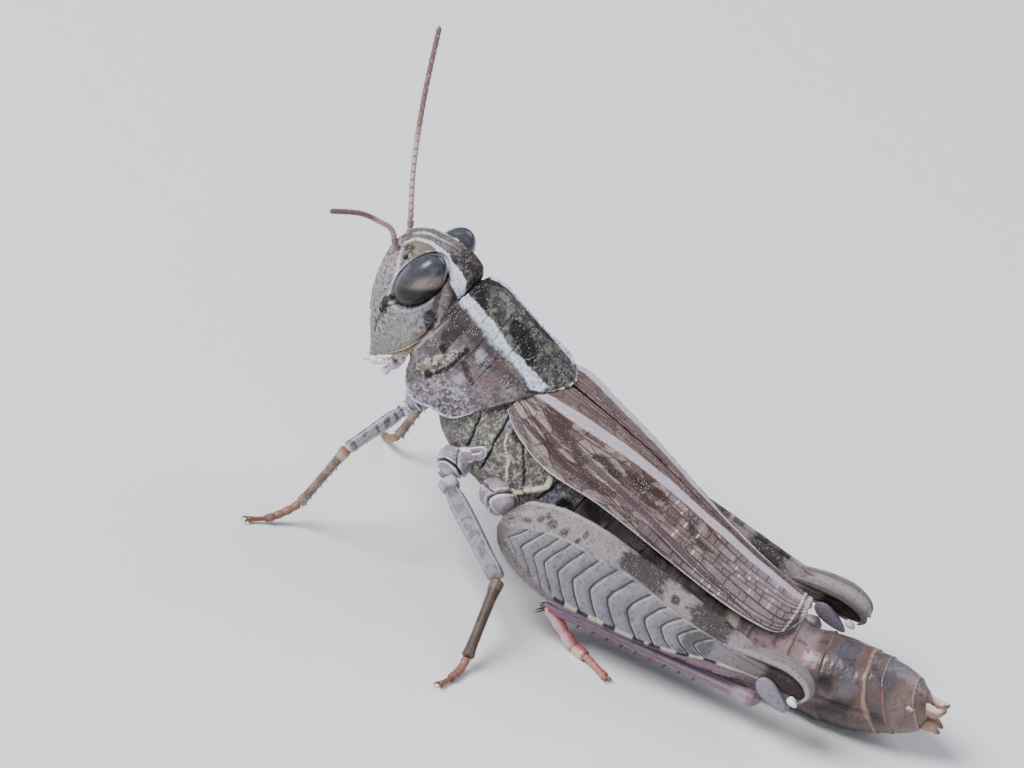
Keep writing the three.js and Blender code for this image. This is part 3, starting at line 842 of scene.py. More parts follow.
@dataclass
class Head:
    """The head capsule: oblique face with its ridge, cheeks, crown and eye sockets."""

    levels: Rows = (
        (3.05, -0.95, -0.1, 0.35), (2.9, -1.45, 0.15, 0.55), (2.62, -2.08, 0.35, 0.84),
        (2.2, -2.78, 0.5, 1.2), (1.6, -3.24, 0.64, 1.62), (1.0, -3.44, 0.84, 1.88),
        (0.3, -3.42, 1.08, 2.0), (-0.6, -3.14, 1.22, 2.1), (-1.6, -2.68, 1.14, 2.1),
        (-2.6, -1.92, 0.66, 1.9), (-3.3, -1.16, 0.2, 1.5), (-3.75, -0.66, 0.0, 1.2),
    )
    rows: int = 290
    columns: int = 290
    power: float = 2.25
    rear_power: float = 4.2
    narrowing: float = 0.16
    ridge_half: Rows = ((-2.8, 0.6), (-1.2, 0.52), (0.3, 0.44), (1.2, 0.4), (2.2, 0.3))
    side_ridge: Rows = ((0.9, 1.3), (1.45, 0.7), (1.75, 0.1), (1.9, -0.42), (1.95, -1.0), (1.8, -2.2))
    cheek_groove: Rows = ((-1.24, -0.6), (-1.5, -1.2), (-1.25, -1.9), (-0.95, -2.6))
    crown_line: Rows = ((-3.14, 0.91, 1.07), (-2.95, 0.68, 1.75), (-2.37, 0.73, 2.22), (-1.88, 0.77, 2.43),
                        (-1.26, 0.97, 2.43), (-0.6, 1.05, 2.39), (-0.03, 1.09, 2.2), (0.35, 1.05, 1.85))
    line_half: Sequence[float] = (0.05, 0.06, 0.06, 0.07, 0.15, 0.26, 0.31, 0.24)

    def capsule(self) -> tuple[Array, Array]:
        """The bare capsule.

        Returns:
            Rings of body places, from the crown down, and how far each one lies to the rear.
        """
        z = np.linspace(self.levels[0][0], self.levels[-1][0], self.rows)[:, None]
        face, nape, half = (keyed(self.levels, z, k) for k in (1, 2, 3))
        angle = ring(self.columns)
        across, back = bent(angle, np.where(np.cos(angle) > 0, self.rear_power, self.power))
        s = (face + nape) / 2 + back * (nape - face) / 2
        y = across * (1 - self.narrowing * np.maximum(0, -back)) * half
        return np.stack((s, y, z + 0 * y), -1), back + 0 * z

    def build(self, eye: "Eye") -> bpy.types.Object:
        """Models the relief and the markings of the capsule.

        Args:
            eye: The eye whose rim the capsule forms.

        Returns:
            The head.
        """
        body, back = self.capsule()
        facing = outward(body)
        lumps = cloud(body, 3.0, 3) - 0.5
        fine = cloud(body, 8.0, 6) - 0.5
        near = body + (lumps * 0.1 + fine * 0.06)[..., None]
        near[..., 1] = np.abs(near[..., 1])
        s, y, z = body[..., 0], np.abs(body[..., 1]), body[..., 2]
        right = np.stack((s, y, z), -1)
        front = smooth(-0.2, -0.6, facing[..., 0])
        side = smooth(0.3, 0.6, np.abs(facing[..., 1]))
        half = keyed(self.ridge_half, z)
        low_face = smooth(-2.75, -2.6, z)
        ridge = band(y, 0, half, 0.07) * front * low_face
        furrow = band(y, 0, half * 0.35, half * 0.5) * front * low_face * smooth(1.5, 0.9, z)
        ridge_line = band(y, half, 0.025, 0.05) * front * low_face
        side_ridge = trace(np.stack((y, z), -1), self.side_ridge, 0.03, 0.07)
        side_ridge = side_ridge * smooth(0.3, -0.1, facing[..., 0])
        groove = trace(np.stack((s, z), -1), self.cheek_groove, 0.015, 0.05) * side
        lip_seam = band(z, -2.6 - 0.12 * band(y, 0, 0.5, 0.3), 0.02, 0.05) * front
        lip = smooth(-2.62, -2.72, z) * front * smooth(1.3, 1.1, y)
        away = np.linalg.norm(right - (-3.1, 0.75, 0.5), axis=-1)
        socket = band(away, 0, 0.24, 0.06)
        socket_rim = band(away, 0.34, 0.03, 0.06)
        round_eye = eye.reach(right)
        orbit = band(round_eye, 1.075, 0.02, 0.05)
        under_eye = smooth(1.03, 0.97, round_eye)
        line = trace(right, self.crown_line, 0.02, 0.06) * smooth(-0.9, -1.5, s)
        crown = smooth(0.1, 0.4, facing[..., 2]) * smooth(0.6, 1.3, z)
        crown = crown * smooth(1.25, 1.0, y - 0.35 * smooth(-1, 0, s))
        hollow = crown * smooth(0.5, 0.2, y) * smooth(-1.2, -2.2, s)
        foveola = trace(near, ((-3.05, 1.05, 1.25), (-2.75, 1.15, 1.6)), 0.1, 0.06)
        rim = band(back, 0.88, 0.05 + 0.06 * smooth(-0.5, -1.5, z), 0.04)
        rim = rim * smooth(0.9, 0.3, z) * smooth(-3.8, -3.3, z) * (y > 0.5)
        rim_groove = band(back, 0.79, 0.012, 0.03) * smooth(0.9, 0.3, z) * side
        middle = band(y, 0, 0.008, 0.04) * crown
        combs = np.sin(24 * s + 10 * z) * band(z, -2.0 + 0.3 * s, 0.15, 0.2) * smooth(-1.1, -0.5, s) * side
        lift = (0.09 * ridge - 0.08 * furrow + 0.035 * ridge_line + 0.07 * side_ridge - 0.07 * groove
                - 0.06 * lip_seam + 0.03 * lip - 0.2 * socket + 0.05 * socket_rim + 0.06 * orbit
                - 0.32 * under_eye + 0.05 * line - 0.06 * hollow + 0.1 * rim - 0.05 * rim_groove
                - 0.03 * middle - 0.05 * foveola + 0.014 * combs * (1 - rim)
                + 0.03 * (1 - under_eye) * fine + 0.03 * lumps)
        stripe = trace(near, self.crown_line, self.line_half, 0.05)
        beads = band(round_eye, 1.1, 0.02, 0.03) * smooth(1.9, 2.1, z) * smooth(-1.2, -1.4, s)
        beads = beads * smooth(0.1, 0.5, np.sin(26 * s))
        patch = (0.8 * trace(near, ((-0.42, 1.7, 1.5), (0.0, 1.75, 0.9), (0.2, 1.75, 0.55)),
                             (0.1, 0.13, 0.2), 0.12)
                 + 0.85 * trace(near, ((0.25, 1.85, 0.25), (0.55, 1.85, 0.0)), (0.24, 0.2), 0.16))
        cheek_spot = trace(near, ((-1.62, 2.0, -0.6), (-1.7, 2.05, -1.0), (-1.6, 2.1, -1.35)),
                           (0.12, 0.26, 0.28), 0.08)
        cheek_spot = cheek_spot + trace(near, ((-1.9, 1.9, -1.4), (-1.5, 2.1, -1.35)), (0.12, 0.2), 0.06)
        marks = {
            "pale": held(stripe * (0.7 + 0.3 * smooth(-2.4, -1.4, s)) + beads * 0.8
                         + 0.7 * side_ridge * smooth(-1.2, 0.0, z)
                         + 0.7 * ridge_line * smooth(1.5, 1.9, z)
                         + 0.4 * band(round_eye, 1.12, 0.03, 0.07) * smooth(1.6, 0.9, z)),
            "dark": held(cheek_spot + patch + 0.5 * groove + 0.7 * lip_seam + socket + 0.7 * foveola
                         + 0.6 * rim_groove + 0.3 * band(round_eye, 1.02, 0.01, 0.03)),
            "crown": crown * (1 - stripe),
            "nape": crown * smooth(-2.0, -1.0, s + lumps) * (1 - stripe),
            "olive": held(orbit * smooth(-0.3, 0.5, z) * smooth(-1.2, -1.9, s)
                          + 0.6 * front * band(z, 1.5, 0.3, 0.5) * smooth(0.35, 0.6, y)),
            "cream": held(rim + 0.6 * trace(near, ((0.08, 1.6, 1.62), (-0.14, 1.66, 1.5)), 0.03, 0.07)
                          + 0.5 * trace(near, ((-1.3, 2.1, -1.75), (-0.95, 2.05, -2.15)), 0.05, 0.05)),
            "orange": spot(near, (0.62, 1.85, -0.55), 0.1, 0.2),
            "flecked": smooth(0.1, -0.2, facing[..., 0]) * smooth(1.9, 1.2, z) + smooth(1.0, 0.3, s) * 0.25,
            "pink": smooth(0.1, -0.3, facing[..., 0]) * smooth(1.6, 0.8, z),
            "cheek": side * smooth(-0.4, -1.0, z),
        }
        part = Casting("head_capsule", HEAD_FINISH, "head_cuticle", ("head",))
        part.sheet(posed(body, lift), marks, evened(body))
        self.ocelli(part)
        return part.cast()

    def ocelli(self, part: Casting) -> None:
        """Adds the three small simple eyes.

        Args:
            part: The head's mesh.
        """
        for y, z, s, size in ((0.0, 0.95, -3.42, 0.1), (-1.45, 1.12, -2.6, 0.12), (1.45, 1.12, -2.6, 0.12)):
            polar = np.linspace(0.02, math.pi - 0.02, 14)[:, None]
            turn = ring(20)[None]
            ball = np.stack((np.sin(polar) * np.cos(turn), np.sin(polar) * np.sin(turn),
                             np.cos(polar) + 0 * turn), -1)
            place = np.array((s, y, z)) + ball * (size * 0.7, size, size * 1.3)
            part.sheet(AXIS.place(place), {"dark": 1.0})


@dataclass
class Eye:
    """A compound eye: a tall oval dome with a rim, seated deep in the head."""

    centre: tuple[float, float, float] = (-1.38, 1.62, 1.04)
    long: float = 1.62
    wide: float = 1.02
    front: float = 0.86
    bulge: float = 0.98
    lean: float = 2.0
    splay: float = 6.0
    rows: int = 84
    columns: int = 150

    def turned(self) -> Array:
        """The right eye's own directions.

        Returns:
            The directions of its width, its length and outward, as rows.
        """
        lean, splay = math.radians(self.lean), math.radians(self.splay)
        wide = (math.cos(lean) * math.cos(splay), math.cos(lean) * math.sin(splay), math.sin(lean))
        long = (-math.sin(lean) * math.cos(splay), -math.sin(lean) * math.sin(splay), math.cos(lean))
        out = (-math.sin(splay), math.cos(splay), 0.0)
        return np.array((wide, long, out))

    def reach(self, place: Array) -> Array:
        """How far places lie from the eye's middle.

        Args:
            place: Body places of the right side.

        Returns:
            0 at the middle and 1 at the outline, for each place.
        """
        local = (place - self.centre) @ self.turned().T
        wide = np.where(local[..., 0] < 0, self.front, self.wide)
        return np.sqrt((local[..., 0] / wide) ** 2 + (local[..., 1] / self.long) ** 2
                       + (np.minimum(local[..., 2], 0) / (self.bulge * 1.6)) ** 2)

    def build(self, side: int, suffix: str) -> bpy.types.Object:
        """Models one eye.

        Args:
            side: -1 for the left and 1 for the right.
            suffix: The side's name.

        Returns:
            The eye.
        """
        polar = np.linspace(0.01, 1.95, self.rows)[:, None]
        turn = ring(self.columns)[None]
        radial = np.sin(polar) ** 0.96
        wide = radial * np.cos(turn)
        tall = radial * np.sin(turn)
        out = np.cos(polar) + 0 * turn
        local = np.stack((wide * np.where(wide < 0, self.front, self.wide), tall * self.long,
                          out * self.bulge), -1)
        body = local @ self.turned() + np.array(self.centre)
        body = body + np.array((-0.15, 0.08, 0.16)) * (side > 0)
        body[..., 1] *= side
        edge = band(polar, 1.41, 0.035, 0.03) + 0 * turn
        lift = 0.01 * band(polar, 1.38, 0.03, 0.04) + 0 * turn
        # The top of the eye (upper) is painted a pale blue-grey highlight and its lower part (lower) is
        # painted near-black shade, split along a fixed slant.
        down = 0.52 * wide - 0.85 * tall + 0.06 * (cloud(local, 1.5, 2) - 0.5)
        marks = {
            "rim": edge,
            "upper": smooth(0.0, -0.55, down),
            "lower": smooth(0.04, 0.34, down),
            "warm": band(down, -0.05, 0.06, 0.34) * smooth(-0.2, 0.4, wide),
            "stripe": smooth(0.0, 0.9, np.sin(wide * 26 + 3 * tall)) * (1 - edge),
        }
        part = Casting(f"compound_eye_{suffix}", EYE_FINISH, "compound_eye", (f"eye_{suffix}",))
        part.sheet(posed(body, lift), marks)
        return part.cast()


@dataclass
class Feeler:
    """A feeler of many short joints, thick at its root."""

    route: Rows
    socket: tuple[float, float, float] = (-3.05, 0.75, 0.5)
    joints: int = 25
    root_radius: float = 0.19
    tip_radius: float = 0.125
    along: int = 520
    around: int = 22

    def build(self, side: int, suffix: str) -> bpy.types.Object:
        """Models one feeler.

        Args:
            side: -1 for the left and 1 for the right.
            suffix: The side's name.

        Returns:
            The feeler.
        """
        root = AXIS.place(np.array((self.socket[0], side * self.socket[1], self.socket[2])))
        path = curve_through(np.vstack((root, np.asarray(self.route) + ORIGIN_SHIFT)), self.along)
        share = np.linspace(0, 1, self.along)
        length = np.linalg.norm(np.diff(path, axis=0), axis=1).sum()
        walked = share * length
        first, second = 0.75, 1.15
        rest = held((walked - second) / (length - second))
        phase = rest * self.joints
        inside = phase - np.floor(phase)
        neck = 1 - smooth(0.0, 0.22, np.minimum(inside, 1 - inside))
        radius = self.root_radius * 0.72 + (self.tip_radius - self.root_radius * 0.72) * rest ** 0.8
        radius = radius * (1.05 - 0.2 * neck)
        radius = np.where(walked < first, self.root_radius * (1 - 0.25 * smooth(0.5, 0.75, walked)), radius)
        radius = np.where((walked >= first) & (walked < second), self.root_radius * 0.85, radius)
        for waist in (first, second):
            radius = radius * (1 - 0.3 * band(walked, waist, 0.02, 0.06))
        radius = radius * np.sqrt(np.clip((length - walked) / 0.2, 0.02, 1))
        angle = ring(self.around)
        section = np.stack((np.cos(angle), np.sin(angle) * 0.86), -1) * radius[:, None, None]
        pale = band(share, 0.32, 0.12, 0.14) * (1 - 0.5 * neck)
        ringed = neck * smooth(0.03, 0.12, share)
        marks = {"pale": pale[:, None], "ring": ringed[:, None], "tip": smooth(0.45, 0.8, share)[:, None],
                 "root": smooth(0.14, 0.05, share)[:, None]}
        part = Casting(f"feeler_{suffix}", FEELER_FINISH, "feeler", (f"antenna_{suffix}",))
        grid = sweep(path, (0, -1.0, 0.2), section)
        part.sheet(grid, marks, evened(grid))
        step = max(1, self.along // (self.joints * 2))
        for k in range(step * 4, self.along - 4, step):
            outwards = unit(grid[k, ::3] - path[k])
            part.thorns(grid[k, ::3] - outwards * 0.01, grid[k, ::3] + outwards * 0.045, 0.008, sides=3)
        return part.cast()


@dataclass
class Mouth:
    """The upper lip over the jaws."""

    levels: Rows = ((-3.7, -0.72, 0.1, 1.16), (-3.86, -0.66, 0.08, 1.15), (-4.05, -0.56, 0.05, 1.0),
                    (-4.22, -0.44, -0.02, 0.8), (-4.35, -0.3, -0.1, 0.45))
    rows: int = 70
    columns: int = 200
    power: float = 2.3

    def build(self) -> bpy.types.Object:
        """Models the lip and jaws in one piece, parted by grooves.

        Returns:
            The lip and jaws.
        """
        z = np.linspace(self.levels[0][0], self.levels[-1][0], self.rows)[:, None]
        face, nape, half = (keyed(self.levels, z, k) for k in (1, 2, 3))
        across, back = bent(ring(self.columns), self.power)
        s = (face + nape) / 2 + back * (nape - face) / 2
        body = np.stack((s, across * half, z + 0 * s), -1)
        y = np.abs(body[..., 1])
        front = smooth(-0.1, -0.5, outward(body)[..., 0])
        notch = band(y, 0, 0.03, 0.06) * smooth(-4.15, -4.4, z) * front
        jaw = band(y, 0.78, 0.02, 0.06) * (z < -3.9)
        lift = (0.05 * front * smooth(0.8, 0.6, y) - 0.1 * notch - 0.08 * jaw
                + 0.02 * (cloud(body, 5.0, 8) - 0.5))
        part = Casting("lip_and_jaws", MOUTH_FINISH, "mouth", ("mouthparts",))
        part.sheet(posed(body, lift), {"dark": held(notch + jaw), "pink": front}, evened(body))
        return part.cast()


@dataclass
class Palps:
    """The long jaw palp and the short lip palp of one side."""

    outer: Rows
    inner: Rows
    along: int = 150
    around: int = 26

    def segment_tube(self, part: Casting, route: Rows, side: int, ends: Sequence[float],
                     radii: Sequence[float]) -> None:
        """Adds one palp.

        Args:
            part: The mesh to add to.
            route: Its route in body places.
            side: -1 for the left and 1 for the right.
            ends: The share of the length at which each segment ends.
            radii: The thickest radius of each segment.
        """
        places = np.asarray(route, float) * (1, side, 1)
        path = curve_through(AXIS.place(places), self.along)
        share = np.linspace(0, 1, self.along)
        radius, joint = np.zeros(self.along), np.zeros(self.along)
        start = 0.0
        for end, thick in zip(ends, radii):
            inside = held((share - start) / (end - start))
            here = (share >= start) & (share <= end)
            barrel = 0.62 + 0.38 * np.sin(np.pi * inside ** 1.5) ** 0.6
            radius = np.where(here, thick * barrel, radius)
            joint = np.where(here, 1 - smooth(0.0, 0.14, np.minimum(inside, 1 - inside)), joint)
            start = end
        radius = radius * np.sqrt(np.clip((1 - share) / 0.05, 0.03, 1))
        angle = ring(self.around)
        section = np.stack((np.cos(angle), np.sin(angle)), -1) * radius[:, None, None]
        grid = sweep(path, (0.3, -1.0, 0.3), section)
        part.sheet(grid, {"joint": joint[:, None] * 0.8}, evened(grid))

    def build(self, side: int, suffix: str) -> bpy.types.Object:
        """Models both palps of a side.

        Args:
            side: -1 for the left and 1 for the right.
            suffix: The side's name.

        Returns:
            The palps.
        """
        part = Casting(f"mouth_palps_{suffix}", PALP_FINISH, "mouth", (f"palps_{suffix}",))
        self.segment_tube(part, self.outer, side, (0.12, 0.24, 0.5, 0.74, 1.0), (0.2, 0.19, 0.18, 0.17, 0.18))
        self.segment_tube(part, self.inner, side, (0.3, 0.6, 1.0), (0.18, 0.17, 0.21))
        return part.cast()


# ---------------------------------------------------------------- thorax and wings

@dataclass
class Pronotum:
    """The saddle over the front of the thorax, with its keels, cross-grooves and rims."""

    stations: Rows = (
        (0.3, 2.5, 1.6, 2.12, 2.35, 2.28, -1.2), (1.2, 2.86, 1.88, 2.3, 2.62, 2.5, -2.2),
        (2.6, 3.08, 2.0, 2.3, 2.78, 2.62, -2.9), (3.6, 3.1, 2.12, 2.24, 2.84, 2.72, -2.35),
        (4.6, 3.08, 2.26, 2.24, 2.88, 2.84, -1.7), (5.3, 3.04, 2.38, 2.24, 2.86, 2.9, 0.2),
        (5.9, 2.98, 2.48, 2.22, 2.72, 2.74, 1.5), (6.5, 2.92, 1.7, 2.5, 1.9, 1.9, 2.05),
        (6.98, 2.86, 0.5, 2.75, 0.6, 0.6, 2.35),
    )
    thick: float = 0.14
    rows: int = 270
    half_columns: int = 160
    inner_step: int = 6
    top_share: float = 0.42
    side_share: float = 0.58
    grooves: Sequence[float] = (1.75, 2.7, 3.75)
    stripe_inner: Rows = ((0.3, 0.74), (2.0, 0.78), (3.8, 0.79), (5.0, 0.72), (5.7, 0.66), (6.4, 0.74))
    stripe_outer: Rows = ((0.3, 1.03), (4.0, 1.0), (5.1, 0.97), (6.4, 0.99))

    def half_section(self, s: Array) -> tuple[Array, Array, Array, Array]:
        """The right half of every section, from the middle keel down to the edge.

        Args:
            s: Stations as a column.

        Returns:
            y, z, the share of the top field and the share of the side field.
        """
        ridge, shoulder, shoulder_z, flank, edge, edge_z = (keyed(self.stations, s, k) for k in range(1, 7))
        share = np.linspace(0, 1, self.half_columns)[None]
        top = held(share / self.top_share)
        side = held((share - self.top_share) / self.side_share)
        y_top = shoulder * top
        z_top = ridge + (shoulder_z - ridge) * top ** 1.5
        keys = (0.0, 0.28, 0.62, 1.0)
        y_keys = (shoulder, flank, flank, edge)
        z_keys = (shoulder_z, (shoulder_z * 2 + edge_z) / 3, (shoulder_z + edge_z * 3) / 4, edge_z)
        y_side, z_side = np.zeros_like(side * shoulder), np.zeros_like(side * shoulder)
        for i in range(3):
            t = held((side - keys[i]) / (keys[i + 1] - keys[i]))
            here = (side >= keys[i]) & (side <= keys[i + 1])
            curve = (np.sin(t * math.pi / 2), t * t * (3 - 2 * t), 1 - np.cos(t * math.pi / 2))[i]
            y_side = np.where(here, y_keys[i] + (y_keys[i + 1] - y_keys[i]) * curve, y_side)
            z_side = np.where(here, z_keys[i] + (z_keys[i + 1] - z_keys[i]) * t, z_side)
        on_top = share <= self.top_share
        return np.where(on_top, y_top, y_side), np.where(on_top, z_top, z_side), top + 0 * s, side + 0 * s

    def build(self) -> bpy.types.Object:
        """Models the saddle as a shell with a rolled rim.

        Returns:
            The pronotum.
        """
        first, last = self.stations[0][0], self.stations[-1][0]
        s = np.linspace(first, last, self.rows)[:, None]
        y, z, top, side = self.half_section(s)
        drawn_back = (0.25 + 0.42 * smooth(2.6, 1.0, z)) * (1 - held((s - first) / 2.2)) ** 2
        body = np.stack((self.both(s + drawn_back), self.both(y, -1), self.both(z)), -1)
        facing = outward(body, wrap=False)
        facing = facing * np.sign(facing[:, body.shape[1] // 2, 2].mean())
        top, side = self.both(top), self.both(side)
        lift, marks = self.relief(body, top, side)
        outer = AXIS.place(body + facing * lift[..., None])
        inner = AXIS.place(body - facing * self.thick)[:, ::-self.inner_step]
        shell = np.concatenate((outer, inner), axis=1)
        spread = {key: np.concatenate((value, value[:, ::-self.inner_step]), axis=1)
                  for key, value in marks.items()}
        part = Casting("pronotum_saddle", PRONOTUM_FINISH, "pronotum_cuticle", ("pronotum",))
        part.sheet(shell, spread, evened(shell))
        return part.cast()

    def both(self, half: Array, sign: int = 1) -> Array:
        """Both halves of every section, from the right half."""
        return np.concatenate((sign * half[:, :0:-1], half), axis=1)

    def relief(self, body: Array, top: Array, side: Array) -> tuple[Array, Marks]:
        """Works out the saddle's raised lines, grooves, pits and colours.

        Args:
            body: The shell's body places.
            top: The share across the top field.
            side: The share down the side field.

        Returns:
            How far each point is raised, and its marks.
        """
        s, y, z = body[..., 0], np.abs(body[..., 1]), body[..., 2]
        lumps = cloud(body, 2.6, 11) - 0.5
        fine = cloud(body, 9.0, 13) - 0.5
        near = body + (0.16 * lumps + 0.1 * fine)[..., None]
        near[..., 1] = np.abs(near[..., 1])
        on_side = smooth(0.0, 0.06, side)
        disc = 1 - on_side
        edge_z = keyed(self.stations, s, 6)
        arc = s - 0.35 * top ** 2 * disc - 0.25 * np.sin(side * 2.6)
        grooves = sum(band(arc + 0.1 * lumps, at, 0.012, 0.05) for at in self.grooves)
        grooves = held(grooves * (disc * smooth(0.06, 0.16, top) + on_side * smooth(0.5, 0.3, side)))
        grooves = held(grooves + band(arc, self.grooves[2], 0.02, 0.06) * disc)
        keel = band(y, 0, 0.03, 0.07) * (1 - 0.8 * band(s, self.grooves[2], 0.03, 0.08))
        side_keel = band(top + side, 1.0, 0.02, 0.07) * (1 - 0.8 * band(s, self.grooves[2], 0.03, 0.08))
        side_keel = side_keel * smooth(6.4, 6.0, s)
        behind = smooth(self.grooves[2], self.grooves[2] + 0.25, s)
        distance, _, _ = cells(np.stack((s, np.where(on_side > 0.5, z, y)), -1), 4.2, 5)
        pits = smooth(0.42, 0.1, distance)
        wrinkles = cloud(body * (1.0, 1.0, 0.6), 4.0, 12) - 0.5
        to_edge = np.where(s < 5.0, z - edge_z, 9.0)
        lower = band(to_edge, 0.0, 0.07, 0.07) * on_side
        start = s[:1]
        front = band(s, start, 0.07, 0.05)
        hind_line = 6.98 - 0.62 * (y / 2.3) ** 1.6
        rear = band(np.minimum(s - hind_line, 0) + 0 * s, 0, 0.05, 0.05) * disc
        callus = trace(near, ((1.9, 2.72, -1.25), (2.2, 2.75, -0.5), (2.35, 2.76, 0.5)),
                       (0.3, 0.34, 0.16), 0.12)
        knobs = spot(near, (3.2, 2.61, 1.43), 0.22, 0.2) + spot(near, (3.45, 2.83, -0.06), 0.18, 0.22)
        plain = on_side * (1 - callus)
        lift = (0.09 * keel + 0.1 * side_keel - 0.04 * grooves - 0.04 * pits * (0.3 + 0.7 * behind)
                + 0.05 * (lower + front) + 0.05 * rear + 0.06 * wrinkles + 0.03 * lumps + 0.03 * fine
                + 0.07 * callus + 0.09 * knobs)
        edge = 0.03 * lumps + 0.03 * fine
        inner, outer = keyed(self.stripe_inner, s), keyed(self.stripe_outer, s)
        stripe = (smooth(inner - 0.03, inner + 0.03, top + side + edge)
                  * smooth(outer + 0.03, outer - 0.02, top + side - edge) * smooth(6.4, 6.2, s))
        blotches = (trace(near, ((0.75, 0.7, 2.8), (1.35, 1.4, 2.6)), 0.32, 0.1)
                    + trace(near, ((3.3, 0.75, 2.9), (4.1, 1.0, 2.9), (4.75, 1.5, 2.8)),
                            (0.34, 0.5, 0.34), 0.16)
                    + 0.7 * trace(near, ((2.1, 1.2, 2.9), (2.9, 1.5, 2.8)), 0.12, 0.15))
        lines = (trace(near, ((2.55, 2.7, 1.1), (2.68, 2.78, 0.1), (2.5, 2.78, -0.8)), (0.1, 0.06, 0.1), 0.08)
                 + spot(near, (1.85, 2.7, 0.25), 0.2, 0.1) + spot(near, (2.25, 2.74, -1.25), 0.2, 0.1)
                 + 0.8 * trace(near, ((3.0, 2.8, 0.6), (3.9, 2.8, 0.3)), 0.08, 0.12))
        marks = {
            "pale": stripe,
            "rim": held(lower + 0.35 * front * on_side * smooth(1.2, 0.2, z)),
            "bead": rear * smooth(0.15, 0.4, np.sin(9 * y + 6 * lumps) + 0.9),
            "disc": disc * (1 - stripe), "front_disc": disc * smooth(1.6, 0.9, s) * (1 - stripe),
            "brown": plain * smooth(0.75, 0.2, side + lumps * 0.5) * smooth(2.4, 3.6, s),
            "shade": plain * held(trace(near, ((1.15, 2.3, 1.9), (1.4, 2.6, 1.3), (1.5, 2.7, 0.8)), 0.34, 0.2)
                                  + 0.7 * smooth(0.32, 0.05, side)),
            "dark": held((blotches + lines) * (1 - stripe) + 0.35 * grooves + 0.25 * pits * behind * disc
                         + 0.6 * lower * smooth(0.7, 0.9, np.sin(9 * s)) * smooth(3.0, 3.4, s)),
            "callus": callus, "knob": knobs,
            "dusty": plain * smooth(0.5, -0.8, z + lumps) * smooth(1.6, 2.6, s),
        }
        return lift, marks


@dataclass(frozen=True)
class Trunk:
    """A rounded length of the body, from rows of s, half width, top and bottom."""

    stations: Rows
    power: float = 2.2

    def skin(self, rows: int, columns: int) -> Array:
        """The bare skin.

        Args:
            rows: How many rings.
            columns: How many points round each ring.

        Returns:
            Rings of body places.
        """
        s = np.linspace(self.stations[0][0], self.stations[-1][0], rows)[:, None]
        half, top, bottom = (keyed(self.stations, s, k) for k in (1, 2, 3))
        across, up = bent(ring(columns), self.power)
        return np.stack((s + 0 * across, across * half, (top + bottom) / 2 + up * (top - bottom) / 2), -1)


@dataclass
class Thorax:
    """The side plates and the breast behind and under the saddle."""

    trunk: Trunk = Trunk((
        (3.7, 1.7, 0.2, -3.3), (4.6, 2.45, 1.2, -3.8), (6.0, 2.85, 1.95, -4.05), (7.6, 3.0, 2.15, -4.05),
        (9.0, 2.9, 2.1, -4.0), (10.3, 2.6, 1.9, -4.0), (11.2, 2.4, 1.7, -4.0)))
    breast: Trunk = Trunk(((0.6, 1.1, 0, -2.5), (1.4, 1.6, 0, -3.05), (3.0, 1.9, 0, -3.5),
                           (4.0, 1.8, 0, -3.3)))
    neck: Trunk = Trunk(((-0.5, 1.2, 1.9, -2.2), (0.4, 1.7, 2.2, -2.3), (1.4, 1.9, 2.2, -2.6)))
    rows: int = 200
    columns: int = 220
    breast_grid: tuple[int, int] = (80, 110)
    neck_grid: tuple[int, int] = (40, 90)
    seams: Sequence[Rows] = (
        ((5.9, 1.5), (6.12, 0.77), (6.45, -0.17), (6.84, -1.18), (7.2, -2.44)),
        ((5.3, -0.6), (5.5, -1.02), (5.86, -1.73), (5.99, -2.29)),
        ((7.2, 1.0), (7.43, 0.46), (8.25, -0.33), (8.94, -1.31)), ((9.7, 1.2), (9.95, 0.1), (9.75, -1.3)))
    ridges: Sequence[Rows] = (((6.75, -0.07), (7.7, -0.84), (8.48, -1.85)), ((8.6, -2.3), (9.08, -1.6)),
                              ((9.17, -1.35), (9.66, -0.55), (9.56, -0.09)))

    def build(self) -> bpy.types.Object:
        """Models the plates with their seams and ridges.

        Returns:
            The thorax.
        """
        body = self.trunk.skin(self.rows, self.columns)
        part = Casting("side_plates", THORAX_FINISH, "thorax_cuticle", ("thorax",))
        lift, marks = self.relief(body)
        part.sheet(posed(body, lift), marks, evened(body))
        # The breast under the saddle and the neck between head and saddle get a flat darkening, painted
        # shade.
        front = self.breast.skin(*self.breast_grid)
        lumps = cloud(front, 2.6, 21) - 0.5
        part.sheet(posed(front, 0.05 * lumps), {"dark": 0.3 + 0 * lumps}, evened(front))
        neck = self.neck.skin(*self.neck_grid)
        part.sheet(posed(neck, 0.03 * np.sin(neck[..., 0] * 22)), {"dark": 0.5}, evened(neck))
        return part.cast()

    def relief(self, body: Array) -> tuple[Array, Marks]:
        """Works out the seams, ridges and colours of the side plates.

        Args:
            body: The skin's body places.

        Returns:
            How far each point is raised, and its marks.
        """
        lumps = cloud(body, 2.4, 22) - 0.5
        fine = cloud(body, 6.0, 23) - 0.5
        flat = np.stack((body[..., 0], body[..., 2]), -1) + lumps[..., None] * 0.1
        side = smooth(0.5, 0.8, np.abs(outward(body)[..., 1]))
        seam = sum(trace(flat, route, 0.025, 0.07) for route in self.seams) * side
        ridge = sum(trace(flat, route, half, 0.05)
                    for route, half in zip(self.ridges, (0.015, 0.07, 0.1))) * side
        worms = band(cloud(body, 4.2, 24), 0.5, 0.02, 0.05) + band(cloud(body, 4.8, 25), 0.5, 0.01, 0.04)
        worms = held(worms) * side
        lift = -0.13 * seam + 0.1 * ridge + 0.06 * lumps + 0.04 * fine + 0.02 * worms
        blotch = spot(flat, (7.14, 0.38), 0.3, 0.15) + spot(flat, (10.84, -0.84), 0.35, 0.2)
        marks = {"dark": held(seam + blotch * side), "pale": held(ridge),
                 "worm": worms, "low": smooth(-2.3, -2.9, body[..., 2]),
                 "lilac": held(spot(flat, (6.42, 0.45), 0.3, 0.2) + spot(flat, (10.1, -0.93), 0.4, 0.25))}
        return lift, marks


